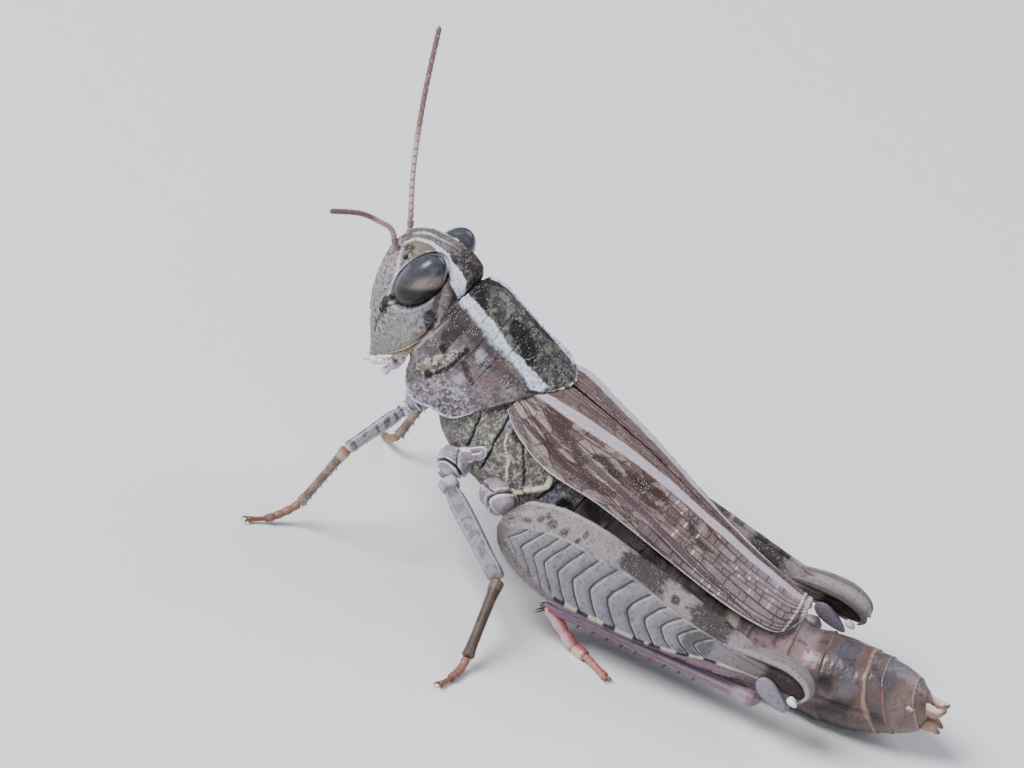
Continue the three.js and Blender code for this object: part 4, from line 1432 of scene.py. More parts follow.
@dataclass
class Forewing:
    """A leathery forewing: a narrow top field and a steep side field, with all its veins."""

    stations: Rows = ((5.9, 0.12, 2.2, 1.95, 2.9, 0.9), (7, 0.08, 2.35, 2.5, 3.2, 0.6),
                      (9, 0.08, 2.02, 2.82, 3.3, 0.45), (12, 0.08, 1.55, 2.86, 3.05, 0.75),
                      (15.5, 0.08, 1.08, 2.5, 2.72, 0.62), (19, 0.08, 0.66, 1.95, 2.42, 0.25),
                      (21.3, 0.08, 0.4, 1.4, 2.1, -0.15), (22.3, 0.08, 0.27, 1.08, 1.6, -0.3),
                      (22.9, 0.1, 0.2, 0.88, 0.75, 0.1), (23.1, 0.12, 0.18, 0.8, 0.42, 0.4))
    crown: float = 0.22
    rows: int = 540
    columns: int = 184
    top_share: float = 0.34
    inner_step: int = 8
    length: float = 17.2
    depth: float = 6.5
    bundle: Rows = ((0.0, 0.03), (0.018, 0.064), (0.101, 0.248), (0.21, 0.359), (0.308, 0.481),
                    (0.403, 0.542), (0.504, 0.603), (0.605, 0.675), (0.692, 0.736), (0.776, 0.776),
                    (0.891, 0.92), (1.0, 1.0))
    side_veins: Sequence[Rows] = (((0.0, 0.05), (0.1, 0.09), (0.2, 0.13), (0.4, 0.1), (0.6, 0.08)),
                                  ((0.0, 0.38), (0.059, 0.502), (0.189, 0.705), (0.314, 0.746),
                                   (0.463, 0.898), (0.626, 0.99)),
                                  ((0.0, 0.3), (0.1, 0.5), (0.2, 0.66), (0.32, 0.7), (0.45, 0.85)),
                                  ((0.08, 0.16), (0.25, 0.27), (0.5, 0.34)))
    top_veins: Sequence[Rows] = (((0.0, 0.25), (0.5, 0.3), (1.0, 0.4)),
                                 ((0.0, 0.12), (0.5, 0.14), (1.0, 0.2)),
                                 ((0.0, 0.4), (0.3, 0.4), (0.5, 0.5)))
    stripe_upper: Rows = ((0.0, 0.8), (0.08, 0.74), (0.18, 0.68), (0.3, 0.62), (0.42, 0.52), (0.54, 0.42),
                          (0.7, 0.3), (1.0, 0.35))
    stripe_lower: Rows = ((0.0, 1.0), (0.12, 1.03), (0.34, 1.01), (0.45, 0.97), (0.6, 0.9), (0.7, 0.9),
                          (0.82, 0.99), (1.0, 1.03))
    patches: Sequence[tuple[Rows, float, float]] = (
        (((1.1, 0.17), (1.45, 0.19)), 0.05, 0.05), (((0.75, 0.21), (0.95, 0.26)), 0.05, 0.05),
        (((0.4, 0.3), (0.65, 0.4)), 0.05, 0.06), (((1.8, 0.2), (2.0, 0.26)), 0.03, 0.05))

    def outer_face(self) -> tuple[Array, Array, Array, Array]:
        """The upper face, from the inner edge over the shoulder down to the lower edge.

        Returns:
            Body places of the right wing, the share along it, and the shares of the top
            field and of the side field.
        """
        share = np.linspace(0, 1, self.rows)
        along = (share + 0.04 * np.sin(2 * np.pi * share) / (2 * np.pi))[:, None]
        s = self.stations[0][0] + (self.stations[-1][0] - self.stations[0][0]) * along
        inner, shoulder, shoulder_z, edge, edge_z = (keyed(self.stations, s, k) for k in range(1, 6))
        over = np.linspace(0, 1, self.columns)[None]
        top = held(over / self.top_share)
        side = held((over - self.top_share) / (1 - self.top_share))
        bulge = 0.16 * (shoulder_z - edge_z) * np.sin(np.pi * held(side) ** 0.8)
        y = np.where(side > 0, shoulder + (edge - shoulder) * side + bulge, inner + (shoulder - inner) * top)
        z = np.where(side > 0, shoulder_z + (edge_z - shoulder_z) * side ** 1.05,
                     shoulder_z + self.crown * (1 - top ** 2.4))
        return np.stack((s + 0 * over, y, z), -1), along + 0 * over, top + 0 * s, side + 0 * s

    def veins(self, along: Array, top: Array, side: Array) -> Marks:
        """Draws the net of veins.

        Args:
            along: The share along the wing.
            top: The share across the top field.
            side: The share down the side field.

        Returns:
            The strengths of long veins and cross-veins, and of pale and dark cells.
        """
        strong = np.zeros_like(along)
        for route in self.side_veins:
            table = np.asarray(route)
            at = keyed(route, np.clip(along, table[0, 0], table[-1, 0]))
            inside = (along >= table[0, 0]) & (along <= table[-1, 0])
            strong = np.maximum(strong, band(side, at, 0.006, 0.012) * inside * (side > 0))
        centre = keyed(self.bundle, along)
        for offset in (-0.06, -0.03, 0.0, 0.03):
            at = centre + offset * smooth(0.0, 0.15, along) * smooth(0.95, 0.6, along)
            strong = np.maximum(strong, band(side, at, 0.006, 0.01) * (side > 0))
        for route in self.top_veins:
            strong = np.maximum(strong, 0.8 * band(top, keyed(route, along), 0.015, 0.03) * (side <= 0))
        behind = smooth(0.42, 0.56, along) * (side > 0)
        lane = (side - 0.22 * (along - 0.6)) * 8.0 + 0.4 * np.sin(5 * along + 9 * side)
        strip = np.floor(lane).astype(np.int64)
        strong = np.maximum(strong, band(np.minimum(lane - strip, 1 - lane + strip), 0, 0.05, 0.07) * behind)
        flat = np.stack((along * self.length, np.where(side > 0, side * self.depth, 20 + top * 4)), -1)
        _, gap, tone = cells(flat * (0.6, 1.0), 1.6, 7)
        _, small_gap, small_tone = cells(flat * (0.8, 1.0), 3.8, 8)
        _, net_gap, _ = cells(flat, 5.5, 9)
        cross = np.maximum(smooth(0.12, 0.03, gap), 0.6 * smooth(0.12, 0.03, small_gap)) * (1 - behind)
        phase = along * 36 + 3 * scattered(strip, strip * 0 + 3, strip * 0, 7)
        step = np.floor(phase).astype(np.int64)
        middle = 0.5 + 0.6 * (scattered(step, strip, strip * 0, 8) - 0.5)
        rung_tone = scattered(step, strip, strip * 0 + 4, 8)
        rung = band(phase - step, middle, 0.05, 0.07) * behind * (1 - strong)
        cross = np.maximum(cross, 0.8 * rung * (rung_tone < 0.5))
        clump = smooth(0.44, 0.56, cloud(flat[..., :1] * (1.0, 0, 0) + flat[..., 1:] * (0, 1.0, 0), 0.6, 10))
        tone = np.where(behind > 0.5, 0.46 + 0.2 * rung_tone, 0.8 * tone + 0.2 * small_tone)
        return {
            "vein": strong, "cross": cross * (1 - strong), "net": smooth(0.2, 0.08, net_gap),
            "white_net": rung * (rung_tone >= 0.68) * (0.15 + 0.85 * clump) * smooth(1.0, 0.8, along),
            "tone": smooth(0.5, 0.72, tone), "gloom": smooth(0.42, 0.25, tone),
            "lane": band(side, centre - 0.015, 0.07, 0.04) * (side > 0),
        }

    def build(self, side_sign: int, suffix: str) -> bpy.types.Object:
        """Models one forewing.

        Args:
            side_sign: -1 for the left and 1 for the right.
            suffix: The side's name.

        Returns:
            The forewing.
        """
        body, along, top, side = self.outer_face()
        body[..., 1] *= side_sign
        facing = outward(body, wrap=False)
        facing = facing * np.sign(facing[..., 2].mean())
        net = self.veins(along, top, side)
        lumps = cloud(body, 1.3, 31 + side_sign) - 0.5
        fine = cloud(body, 4.0, 33) - 0.5
        shoulder = (np.exp(-(((side - 0.01) / 0.03) ** 2)) * (side > 0)
                    + band(top, 1, 0.04, 0.12) * (side <= 0))
        upper, lower = keyed(self.stripe_upper, along), keyed(self.stripe_lower, along)
        stripe = smooth(upper - 0.03, upper + 0.03, top + side)
        stripe = stripe * smooth(lower + 0.015, lower - 0.012, top + side)
        border = np.maximum(band(side, 1.0, 0.012, 0.02), smooth(0.985, 0.993, along))
        border = np.maximum(border, band(along + 0.02 * side ** 2, 0.978, 0.002, 0.003))
        places = np.stack((along * 3, side), -1) + 0.3 * lumps[..., None]
        patches = sum(trace(places, route, half, soft) for route, half, soft in self.patches)
        lift = (0.05 * net["vein"] + 0.03 * net["cross"] + 0.03 * net["white_net"]
                + 0.06 * shoulder * (along < 0.97) + 0.03 * border + 0.04 * lumps + 0.02 * fine)
        thick = 0.09 + 0.09 * smooth(0.0, 0.15, along)
        outer = AXIS.place(body + facing * lift[..., None])
        inner = AXIS.place(body - facing * thick[..., None])[:, ::-self.inner_step]
        shell = np.concatenate((outer, inner), axis=1)
        marks = {
            **net, "net": net["net"] * stripe, "stripe": stripe * smooth(0.995, 0.97, along),
            "border": border, "patch": held(patches) * (side > 0), "top": (side <= 0) * (1 - stripe),
            "tip": smooth(0.55, 0.9, along), "fore": smooth(0.55, 0.9, side),
        }
        spread = {key: np.concatenate((value, value[:, ::-self.inner_step]), axis=1)
                  for key, value in marks.items()}
        part = Casting(f"forewing_{suffix}", WING_FINISH, "wing_membrane", (f"tegmen_{suffix}",))
        part.sheet(shell, spread, evened(shell))
        return part.cast()


# ---------------------------------------------------------------- abdomen

@dataclass
class Abdomen:
    """The belly in telescoped rings, each ring's hind edge over the next, and the tail."""

    trunk: Trunk = Trunk((
        (11.3, 2.35, 1.65, -4.0), (13, 2.4, 1.45, -4.25), (15, 2.42, 1.1, -4.5), (17, 2.4, 0.75, -4.6),
        (19, 2.3, 0.5, -4.55), (21, 2.15, 0.25, -4.35), (22.6, 1.98, -0.15, -4.3), (23.6, 1.9, -0.5, -4.3),
        (24.6, 2.02, -0.4, -4.4), (26, 2.02, -0.42, -4.42), (27.6, 1.85, -0.62, -4.15),
        (28.8, 1.5, -0.95, -3.8), (29.6, 1, -1.5, -3.45), (29.9, 0.55, -1.95, -3.15)))
    edges: Sequence[float] = (11.0, 12.9, 14.9, 17.0, 19.1, 21.1, 23.0, 24.6, 26.8, 27.5, 28.9, 30.2)
    fold_z: Rows = ((11, -2.6), (20, -2.9), (24, -2.7), (30, -2.6))
    tail_blotches: Sequence[tuple[tuple[float, float], float]] = (
        ((26.1, -2.6), 0.3), ((25.5, -3.1), 0.2), ((27.9, -3.0), 0.25), ((25.1, -1.9), 0.25),
        ((29.0, -2.6), 0.2))
    rows: int = 480
    columns: int = 160

    def build(self) -> bpy.types.Object:
        """Models the whole abdomen as one skin.

        Returns:
            The abdomen.
        """
        body = self.trunk.skin(self.rows, self.columns)
        s, z = body[..., 0], body[..., 2]
        lumps = cloud(body, 1.8, 41) - 0.5
        bow = s + 0.08 * lumps + (z + 0.75) * (0.22 + 0.16 * smooth(26.9, 27.6, s)) * smooth(24.0, 25.5, s)
        edges = np.asarray(self.edges)
        which = np.clip(np.searchsorted(edges, bow, side="right") - 1, 0, len(edges) - 2)
        share = (bow - edges[which]) / (edges[which + 1] - edges[which])
        step = smooth(0.0, 0.05, share) * (0.35 + 0.65 * share)
        lip = band(share, 0.95, 0.02, 0.03)
        fold = band(z, keyed(self.fold_z, s), 0.04, 0.12) * smooth(0.4, 0.8, np.abs(outward(body)[..., 1]))
        fold = fold * smooth(28.5, 27.5, s)
        fine = cloud(body * (1.6, 1, 1), 4.0, 42) - 0.5
        flat = np.stack((s, z), -1) + 0.5 * lumps[..., None]
        lift = 0.07 * (step - 0.6) + 0.025 * lip - 0.1 * fold + 0.05 * lumps + 0.02 * fine
        dark_ring = band(s, 15.3, 0.9, 0.4) + band(s, 18.6, 1.0, 0.4) + 0.4 * band(s, 12.2, 0.6, 0.4)
        marks = {
            "edge": lip * smooth(24.8, 25.6, s),
            "seam": band(share, 0.0, 0.01, 0.05) * smooth(22.5, 20.0, s) * 0.6,
            "tan": (smooth(0.52, 0.62, cloud(body * (1.0, 1.0, 0.6), 1.1, 44)) * band(z, -1.0, 0.6, 0.5)
                    * smooth(23.0, 21.0, s)),
            "dark": held(dark_ring * smooth(-0.2, 0.1, lumps + 0.1)
                         + 0.4 * smooth(0.55, 0.7, cloud(body, 0.9, 43))
                         + 0.9 * sum(spot(flat, place, size, 0.35) for place, size in self.tail_blotches)),
            "neck": band(s, 22.6, 1.2, 0.6), "tail": smooth(23.8, 24.6, s),
            # Bluish spots on the tail rings are a painted highlight.
            "blue": sum(spot(flat, place, 0.25, 0.5) for place in ((25.6, -0.5), (27.8, -0.8), (26.1, -1.5))),
            "red": band(share, 0.8, 0.06, 0.12) * smooth(23.8, 24.6, s),
            "low": smooth(-2.6, -3.2, z), "tip": smooth(27.9, 28.6, s),
        }
        part = Casting("belly_rings", BELLY_FINISH, "abdomen_cuticle",
                       ("abdomen_front", "abdomen_middle", "abdomen_rear", "abdomen_tip"))
        part.sheet(posed(body, lift), marks, evened(body))
        return part.cast()


@dataclass
class Ovipositor:
    """The two pairs of hooked egg-laying blades and the two small tail feelers."""

    upper: Rows = ((28.9, 0.42, -2.2), (29.7, 0.45, -2.15), (30.25, 0.42, -2.2), (30.72, 0.3, -1.92))
    lower: Rows = ((28.9, 0.42, -3.0), (29.6, 0.42, -3.0), (30.2, 0.4, -3.02), (30.66, 0.3, -3.2))
    cercus: Rows = ((28.5, 1.15, -1.9), (28.95, 1.3, -1.95), (29.35, 1.25, -2.05))
    along: int = 90
    around: int = 36

    def blade(self, part: Casting, route: Rows, side: int, radius: float, curl: float) -> None:
        """Adds one blade.

        Args:
            part: The mesh to add to.
            route: Its route in body places.
            side: -1 for the left and 1 for the right.
            radius: Its radius at the root.
            curl: The direction in which its back is ridged, up or down.
        """
        path = curve_through(AXIS.place(np.asarray(route, float) * (1, side, 1)), self.along)
        share = np.linspace(0, 1, self.along)
        radii = radius * (1 - 0.25 * share) * np.sqrt(np.clip((1 - share) / 0.35, 0.004, 1))
        angle = ring(self.around)
        flat = np.stack((np.cos(angle) * 0.72, np.sin(angle) * (1 + 0.2 * (np.sin(angle) * curl > 0.8))), -1)
        grid = sweep(path, (0, 0, 1.0), flat * radii[:, None, None])
        rim = smooth(0.2, 0.8, np.sin(angle) * curl)[None] * smooth(0.1, 0.3, share)[:, None]
        part.sheet(grid, {"rim": rim, "tip": smooth(0.8, 0.97, share)[:, None]}, evened(grid))

    def build(self, route: Rows, name: str, node: str, curl: float) -> bpy.types.Object:
        """Models one pair of blades.

        Args:
            route: The blades' route.
            name: The piece's name.
            node: The node that the pair stands for.
            curl: 1 for the upper pair and -1 for the lower.

        Returns:
            The pair.
        """
        part = Casting(name, BLADE_FINISH, "horn_blade", (node,))
        for side in (-1, 1):
            self.blade(part, route, side, 0.34, curl)
            if curl > 0:
                self.blade(part, self.cercus, side, 0.16, curl)
        return part.cast()


# ---------------------------------------------------------------- legs

@dataclass
class Joints:
    """The joints of one leg on one side, in millimetres of the frame."""

    root: Array
    hip: Array
    knee: Array
    ankle: Array
    toes: Array
    heel: Array
    base: Array


@dataclass
class Leg:
    """Joint places of the left leg of a pair, and how the right one differs."""

    name: str
    station: float
    coxa_root: tuple[float, float, float]
    coxa_radius: float
    hip: tuple[float, float, float]
    knee: tuple[float, float, float]
    ankle: tuple[float, float, float]
    toes: Rows
    change: tuple[float, float, float]
    thigh: float
    shin: float
    foot: float
    heel: tuple[float, float, float] = (0.0, 0.0, 0.0)
    base: tuple[float, float, float] = (0.0, 0.0, 0.0)
    folds: Sequence[tuple[float, Rows]] = ()
    fold_grid: tuple[int, int] = (90, 28)
    foot_grid: tuple[int, int] = (150, 26)
    claw_grid: tuple[int, int] = (16, 10)

    def joints(self, side: int) -> Joints:
        """The leg's joints on a side.

        Args:
            side: -1 for the left and 1 for the right.

        Returns:
            The joints.
        """
        def place(joint: Sequence[float], share: float) -> Array:
            """Takes a joint of the left leg to this side.

            Args:
                joint: The joint's place on the left.
                share: How much of the right leg's change it takes.

            Returns:
                The joint's place on this side.
            """
            left = np.asarray(joint, float) + ORIGIN_SHIFT
            if side < 0:
                return left
            return AXIS.mirrored(left, self.station) + np.asarray(self.change) * share

        s, y, z = self.coxa_root
        return Joints(
            root=AXIS.place(np.array((s, side * y, z))), hip=place(self.hip, 0), knee=place(self.knee, 0.5),
            ankle=place(self.ankle, 1), toes=np.array([place(toe, 1) for toe in self.toes]),
            heel=place(self.heel, 1), base=place(self.base, 0))

    def limb(self, start: Array, end: Array, rows: Rows, around: int, along: int,
             ribs: int = 0, depth: float = 0.0) -> tuple[Array, Array, Array]:
        """A limb between two joints.

        Args:
            start: The upper joint.
            end: The lower joint.
            rows: Share of the length and radius.
            around: Points round each ring.
            along: How many rings.
            ribs: How many long ribs its section has.
            depth: How far they stand out, as a share of the radius.

        Returns:
            The grid, the share along it and the angle round it.
        """
        share = np.linspace(0, 1, along)[:, None]
        angle = ring(around)[None]
        radius = keyed(rows, share) * (1 + depth * (np.cos(ribs * angle) ** 3 if ribs else 0 * angle))
        radius = radius * rounded(share, 0.03, 0.03)
        path = start + (end - start) * share
        grid = sweep(path, (0.0, 0.0, 1.0), np.stack((np.sin(angle) * radius, np.cos(angle) * radius), -1))
        return grid, share + 0 * angle, angle + 0 * share

    def folds_on(self, part: Casting, side: int) -> None:
        """Adds the lobed folds beside a hip.

        Args:
            part: The hip's mesh.
            side: -1 for the left and 1 for the right.
        """
        along, around = self.fold_grid
        turn = ring(around)
        for number, (radius, route) in enumerate(self.folds):
            path = curve_through(AXIS.place(np.asarray(route, float) * (1, side, 1)), along)
            share = np.linspace(0, 1, along)[:, None]
            wave = 1 + 0.16 * np.sin(9 * share + 2 * number)
            size = radius * wave * rounded(share, 0.2, 0.2)
            section = np.stack((np.cos(turn) * size, np.sin(turn) * size * 0.7), -1)
            # The folds' long edges are darkened as painted shade.
            part.sheet(sweep(path, (0, side, 0), section), {
                "plate": 1.0, "pale": band(np.abs(np.cos(turn)), 0.7, 0.1, 0.12)[None] + 0 * share,
                "dark": smooth(0.88, 0.97, np.abs(np.cos(turn)))[None] + 0 * share})

    def plated(self, grid: Array, share: Array, angle: Array, seed: int) -> tuple[Array, Marks]:
        """Folds a hip into a few lobed plates with pale rims and creases darkened as painted shade.

        Args:
            grid: The hip's grid.
            share: The share along it.
            angle: The angle round it.
            seed: Which draw of plates.

        Returns:
            The folded grid and its marks.
        """
        lumps = cloud(grid, 2.2, seed) - 0.5
        wave = share + 0.06 * np.sin(2 * angle + seed) + 0.06 * lumps
        fold = np.abs(np.sin(2.5 * angle + 1.6 * share + 0.8 * lumps))
        crease = band(wave, 0.62, 0.02, 0.05) + smooth(0.17, 0.04, fold) * smooth(0.66, 0.56, share)
        rim = (band(wave, 0.7, 0.02, 0.05) + band(wave, 0.55, 0.01, 0.03)
               + 0.9 * band(fold, 0.32, 0.05, 0.08) * (wave < 0.56))
        crease, rim = held(crease), held(rim)
        inside = smooth(0.0, 0.12, share) * smooth(1.0, 0.9, share)
        lift = (0.14 * smooth(0.1, 0.7, fold) * smooth(0.7, 0.5, share) - 0.16 * crease + 0.07 * rim
                + 0.1 * lumps - 0.08)
        # The crease darkening is painted shade in the folds.
        marks = {"dark": crease, "pale": rim * 0.85, "plate": 1.0 + 0 * fold}
        return grid + outward(grid) * (lift * inside)[..., None], marks

    def hip_piece(self, joints: Joints, label: str, rows: Rows, size: tuple[int, int], seed: int) -> Casting:
        """Models the hip as lobed plates.

        Args:
            joints: The leg's joints.
            label: The leg's name and side.
            rows: Share of the length and radius.
            size: Points round each ring, and how many rings.
            seed: Which draw of plates.

        Returns:
            The hip's mesh, not yet cast.
        """
        hip = Casting(f"hip_{label}", LEG_FINISH, "leg_cuticle", (f"coxa_{label}",))
        grid, share, angle = self.limb(joints.root, joints.hip, rows, *size)
        grid, marks = self.plated(grid, share, angle, seed)
        hip.sheet(grid, marks, evened(grid))
        return hip

    def foot_on(self, part: Casting, joints: Joints, radius: float) -> None:
        """Adds the foot: padded joints, a slim claw joint and two claws.

        Args:
            part: The foot's mesh.
            joints: The leg's joints.
            radius: The radius of the pads.
        """
        path = curve_through(np.vstack((joints.ankle, joints.toes)), self.foot_grid[0])
        share = np.linspace(0, 1, self.foot_grid[0])[:, None]
        angle = ring(self.foot_grid[1])[None]
        pads = 0.78 + 0.22 * np.abs(np.sin(np.pi * held(share / 0.66) * 4)) ** 0.7
        slim = 0.55 + 0.2 * smooth(0.85, 1.0, share)
        size = radius * np.where(share < 0.66, pads, slim)
        size = size * rounded(share, 0.03, 0.03, 0.05)
        under = np.where(np.cos(angle) < 0, 1.0, 0.86)
        section = np.stack((np.sin(angle) * size * 0.92, np.cos(angle) * size * under), -1)
        grid = sweep(path, (0.0, 0.0, 1.0), section)
        grid[..., 2] = np.maximum(grid[..., 2], 0)
        groove = band(share, 0.5, 0.006, 0.02) + band(share, 0.66, 0.006, 0.02)
        marks = {"pad": smooth(-0.1, -0.7, np.cos(angle)) * smooth(0.7, 0.6, share),
                 "back": smooth(0.2, 0.8, np.cos(angle)) + 0 * share,
                 "claw_joint": smooth(0.64, 0.7, share) + 0 * angle, "dark": groove + 0 * angle}
        part.sheet(grid, marks, evened(grid))
        end, ahead = path[-1], unit(path[-1] - path[-12])
        across = unit(np.cross(ahead, (0, 0, 1.0)))
        reach = np.linspace(0, 1, self.claw_grid[0])
        thin = 0.07 * (1 - reach ** 1.4 * 0.85)
        turn = ring(self.claw_grid[1])
        section = np.stack((np.sin(turn), np.cos(turn)), -1) * thin[:, None, None]
        for sign in (-1, 1):
            claw = np.stack((end - ahead * 0.12 + across * sign * 0.05,
                             end + ahead * 0.12 + across * sign * 0.16 + (0, 0, 0.03),
                             end + ahead * 0.17 + across * sign * 0.24 - (0, 0, 0.13)))
            claw[:, 2] = np.maximum(claw[:, 2], 0.03)
            rings = sweep(curve_through(claw, len(reach)), (0, 0, 1.0), section)
            rings[..., 2] = np.maximum(rings[..., 2], 0)
            part.sheet(rings, {"claw": smooth(0.2, 0.7, reach)[:, None], "claw_joint": 1.0})

    def bristles(self, part: Casting, grid: Array, count: int, length: float, seed: int) -> None:
        """Adds short scattered bristles to a limb.

        Args:
            part: The mesh to add to.
            grid: The limb's grid.
            count: How many bristles.
            length: Their length.
            seed: Which draw of places.
        """
        draw = np.random.default_rng(seed)
        rows = draw.integers(4, grid.shape[0] - 4, count)
        columns = draw.integers(0, grid.shape[1], count)
        root = grid[rows, columns]
        middle = grid.mean(axis=1)[rows]
        ahead = unit(grid.mean(axis=1)[rows + 3] - middle)
        reach = (length * draw.uniform(0.6, 1.0, count))[:, None]
        tip = root + unit(unit(root - middle) + 0.7 * ahead) * reach
        part.thorns(root, tip, 0.011, {"bristle": 1.0}, sides=3)


@dataclass
class WalkingLeg(Leg):
    """A front or middle leg."""

    hip_rows: Rows = ((0, 1.1), (0.35, 1.05), (0.65, 0.86), (0.85, 0.64))
    ring_end: float = 0.13
    thigh_rows: Rows = ((0, 0.92), (0.08, 1.0), (ring_end, 0.72), (0.2, 0.88), (0.4, 0.94), (0.8, 0.82),
                        (0.93, 0.86), (1, 0.72))
    shin_rows: Rows = ((0, 1.12), (0.1, 1.05), (0.2, 0.86), (0.85, 0.82), (1, 1.08))
    hip_grid: tuple[int, int] = (64, 60)
    thigh_grid: tuple[int, int] = (64, 150)
    shin_grid: tuple[int, int] = (44, 110)
    spine_rows: tuple[int, int, int] = (33, 104, 7)
    spine_columns: Sequence[int] = (18, 26)
    shaded: float = 0.0

    def build(self, side: int, suffix: str) -> list[bpy.types.Object]:
        """Models the four lengths of the leg.

        Args:
            side: -1 for the left and 1 for the right.
            suffix: The side's name.

        Returns:
            The hip, thigh, shin and foot.
        """
        joints = self.joints(side)
        label = f"{self.name}_{suffix}"
        rows = (*scaled(self.hip_rows, self.coxa_radius), (1, self.thigh))
        hip = self.hip_piece(joints, label, rows, self.hip_grid, 51)
        self.folds_on(hip, side)
        foot = Casting(f"foot_{label}", FOOT_FINISH, "foot_cuticle", (f"tarsus_{label}",))
        self.foot_on(foot, joints, self.foot * 0.92)
        thigh, shin = self.thigh_piece(joints, side, label), self.shin_piece(joints, label)
        return [piece.cast() for piece in (hip, thigh, shin, foot)]

    def thigh_piece(self, joints: Joints, side: int, label: str) -> Casting:
        """Models the ribbed thigh and the ring that joins it to the hip.

        Args:
            joints: The leg's joints.
            side: -1 for the left and 1 for the right.
            label: The leg's name and side.

        Returns:
            The thigh's mesh, not yet cast.
        """
        thigh = Casting(f"thigh_{label}", LEG_FINISH, "leg_cuticle", (f"femur_{label}",))
        widths = scaled(self.thigh_rows, self.thigh)
        grid, share, angle = self.limb(joints.hip, joints.knee, widths, *self.thigh_grid, ribs=4, depth=0.1)
        ridge = smooth(0.5, 0.95, np.cos(4 * angle))
        drift = cloud(grid, 1.5, 52 + side)
        row = np.sin(42 * share + 3 * np.sign(np.sin(angle)) + 9 * drift)
        blotch = smooth(0.1, 0.5, row) * smooth(0.32, 0.42, drift) * (1 - 0.7 * ridge)
        thigh.sheet(grid, {
            "dark": held(blotch * 0.6 + 0.7 * band(share, self.ring_end, 0.006, 0.02)
                         + 0.5 * band(share, 0.95, 0.02, 0.03)),
            "lilac": 1 - blotch, "shaded": self.shaded,
            "pale": held(band(share, 0.07, 0.02, 0.04) + 0.7 * smooth(0.95, 1.0, share) + ridge * 0.5),
        }, evened(grid))
        self.bristles(thigh, grid, 70, 0.16, 53)
        return thigh

    def shin_piece(self, joints: Joints, label: str) -> Casting:
        """Models the slim ringed shin with two rows of small spines under it.

        Args:
            joints: The leg's joints.
            label: The leg's name and side.

        Returns:
            The shin's mesh, not yet cast.
        """
        shin = Casting(f"shin_{label}", SHIN_FINISH, "shin_cuticle", (f"tibia_{label}",))
        widths = scaled(self.shin_rows, self.shin)
        grid, share, _ = self.limb(joints.knee, joints.ankle, widths, *self.shin_grid, ribs=4, depth=0.05)
        rings = held(band(share, 0.2, 0.03, 0.05) + band(share, 0.5, 0.05, 0.06)
                     + band(share, 0.8, 0.04, 0.05))
        shin.sheet(grid, {"dark": rings * 0.8, "pale": band(share, 0.07, 0.03, 0.05),
                          "rust": smooth(0.1, 0.0, share), "shaded": self.shaded}, evened(grid))
        rows = np.linspace(*self.spine_rows).astype(int)
        ahead = unit(joints.ankle - joints.knee)
        for column in self.spine_columns:
            root = grid[rows, column]
            away = unit(root - grid.mean(axis=1)[rows])
            shin.thorns(root - away * 0.04, root + away * 0.16 + ahead * 0.16, 0.04, {"tip": 0.8}, sides=7)
        self.bristles(shin, grid, 60, 0.2, 54)
        return shin


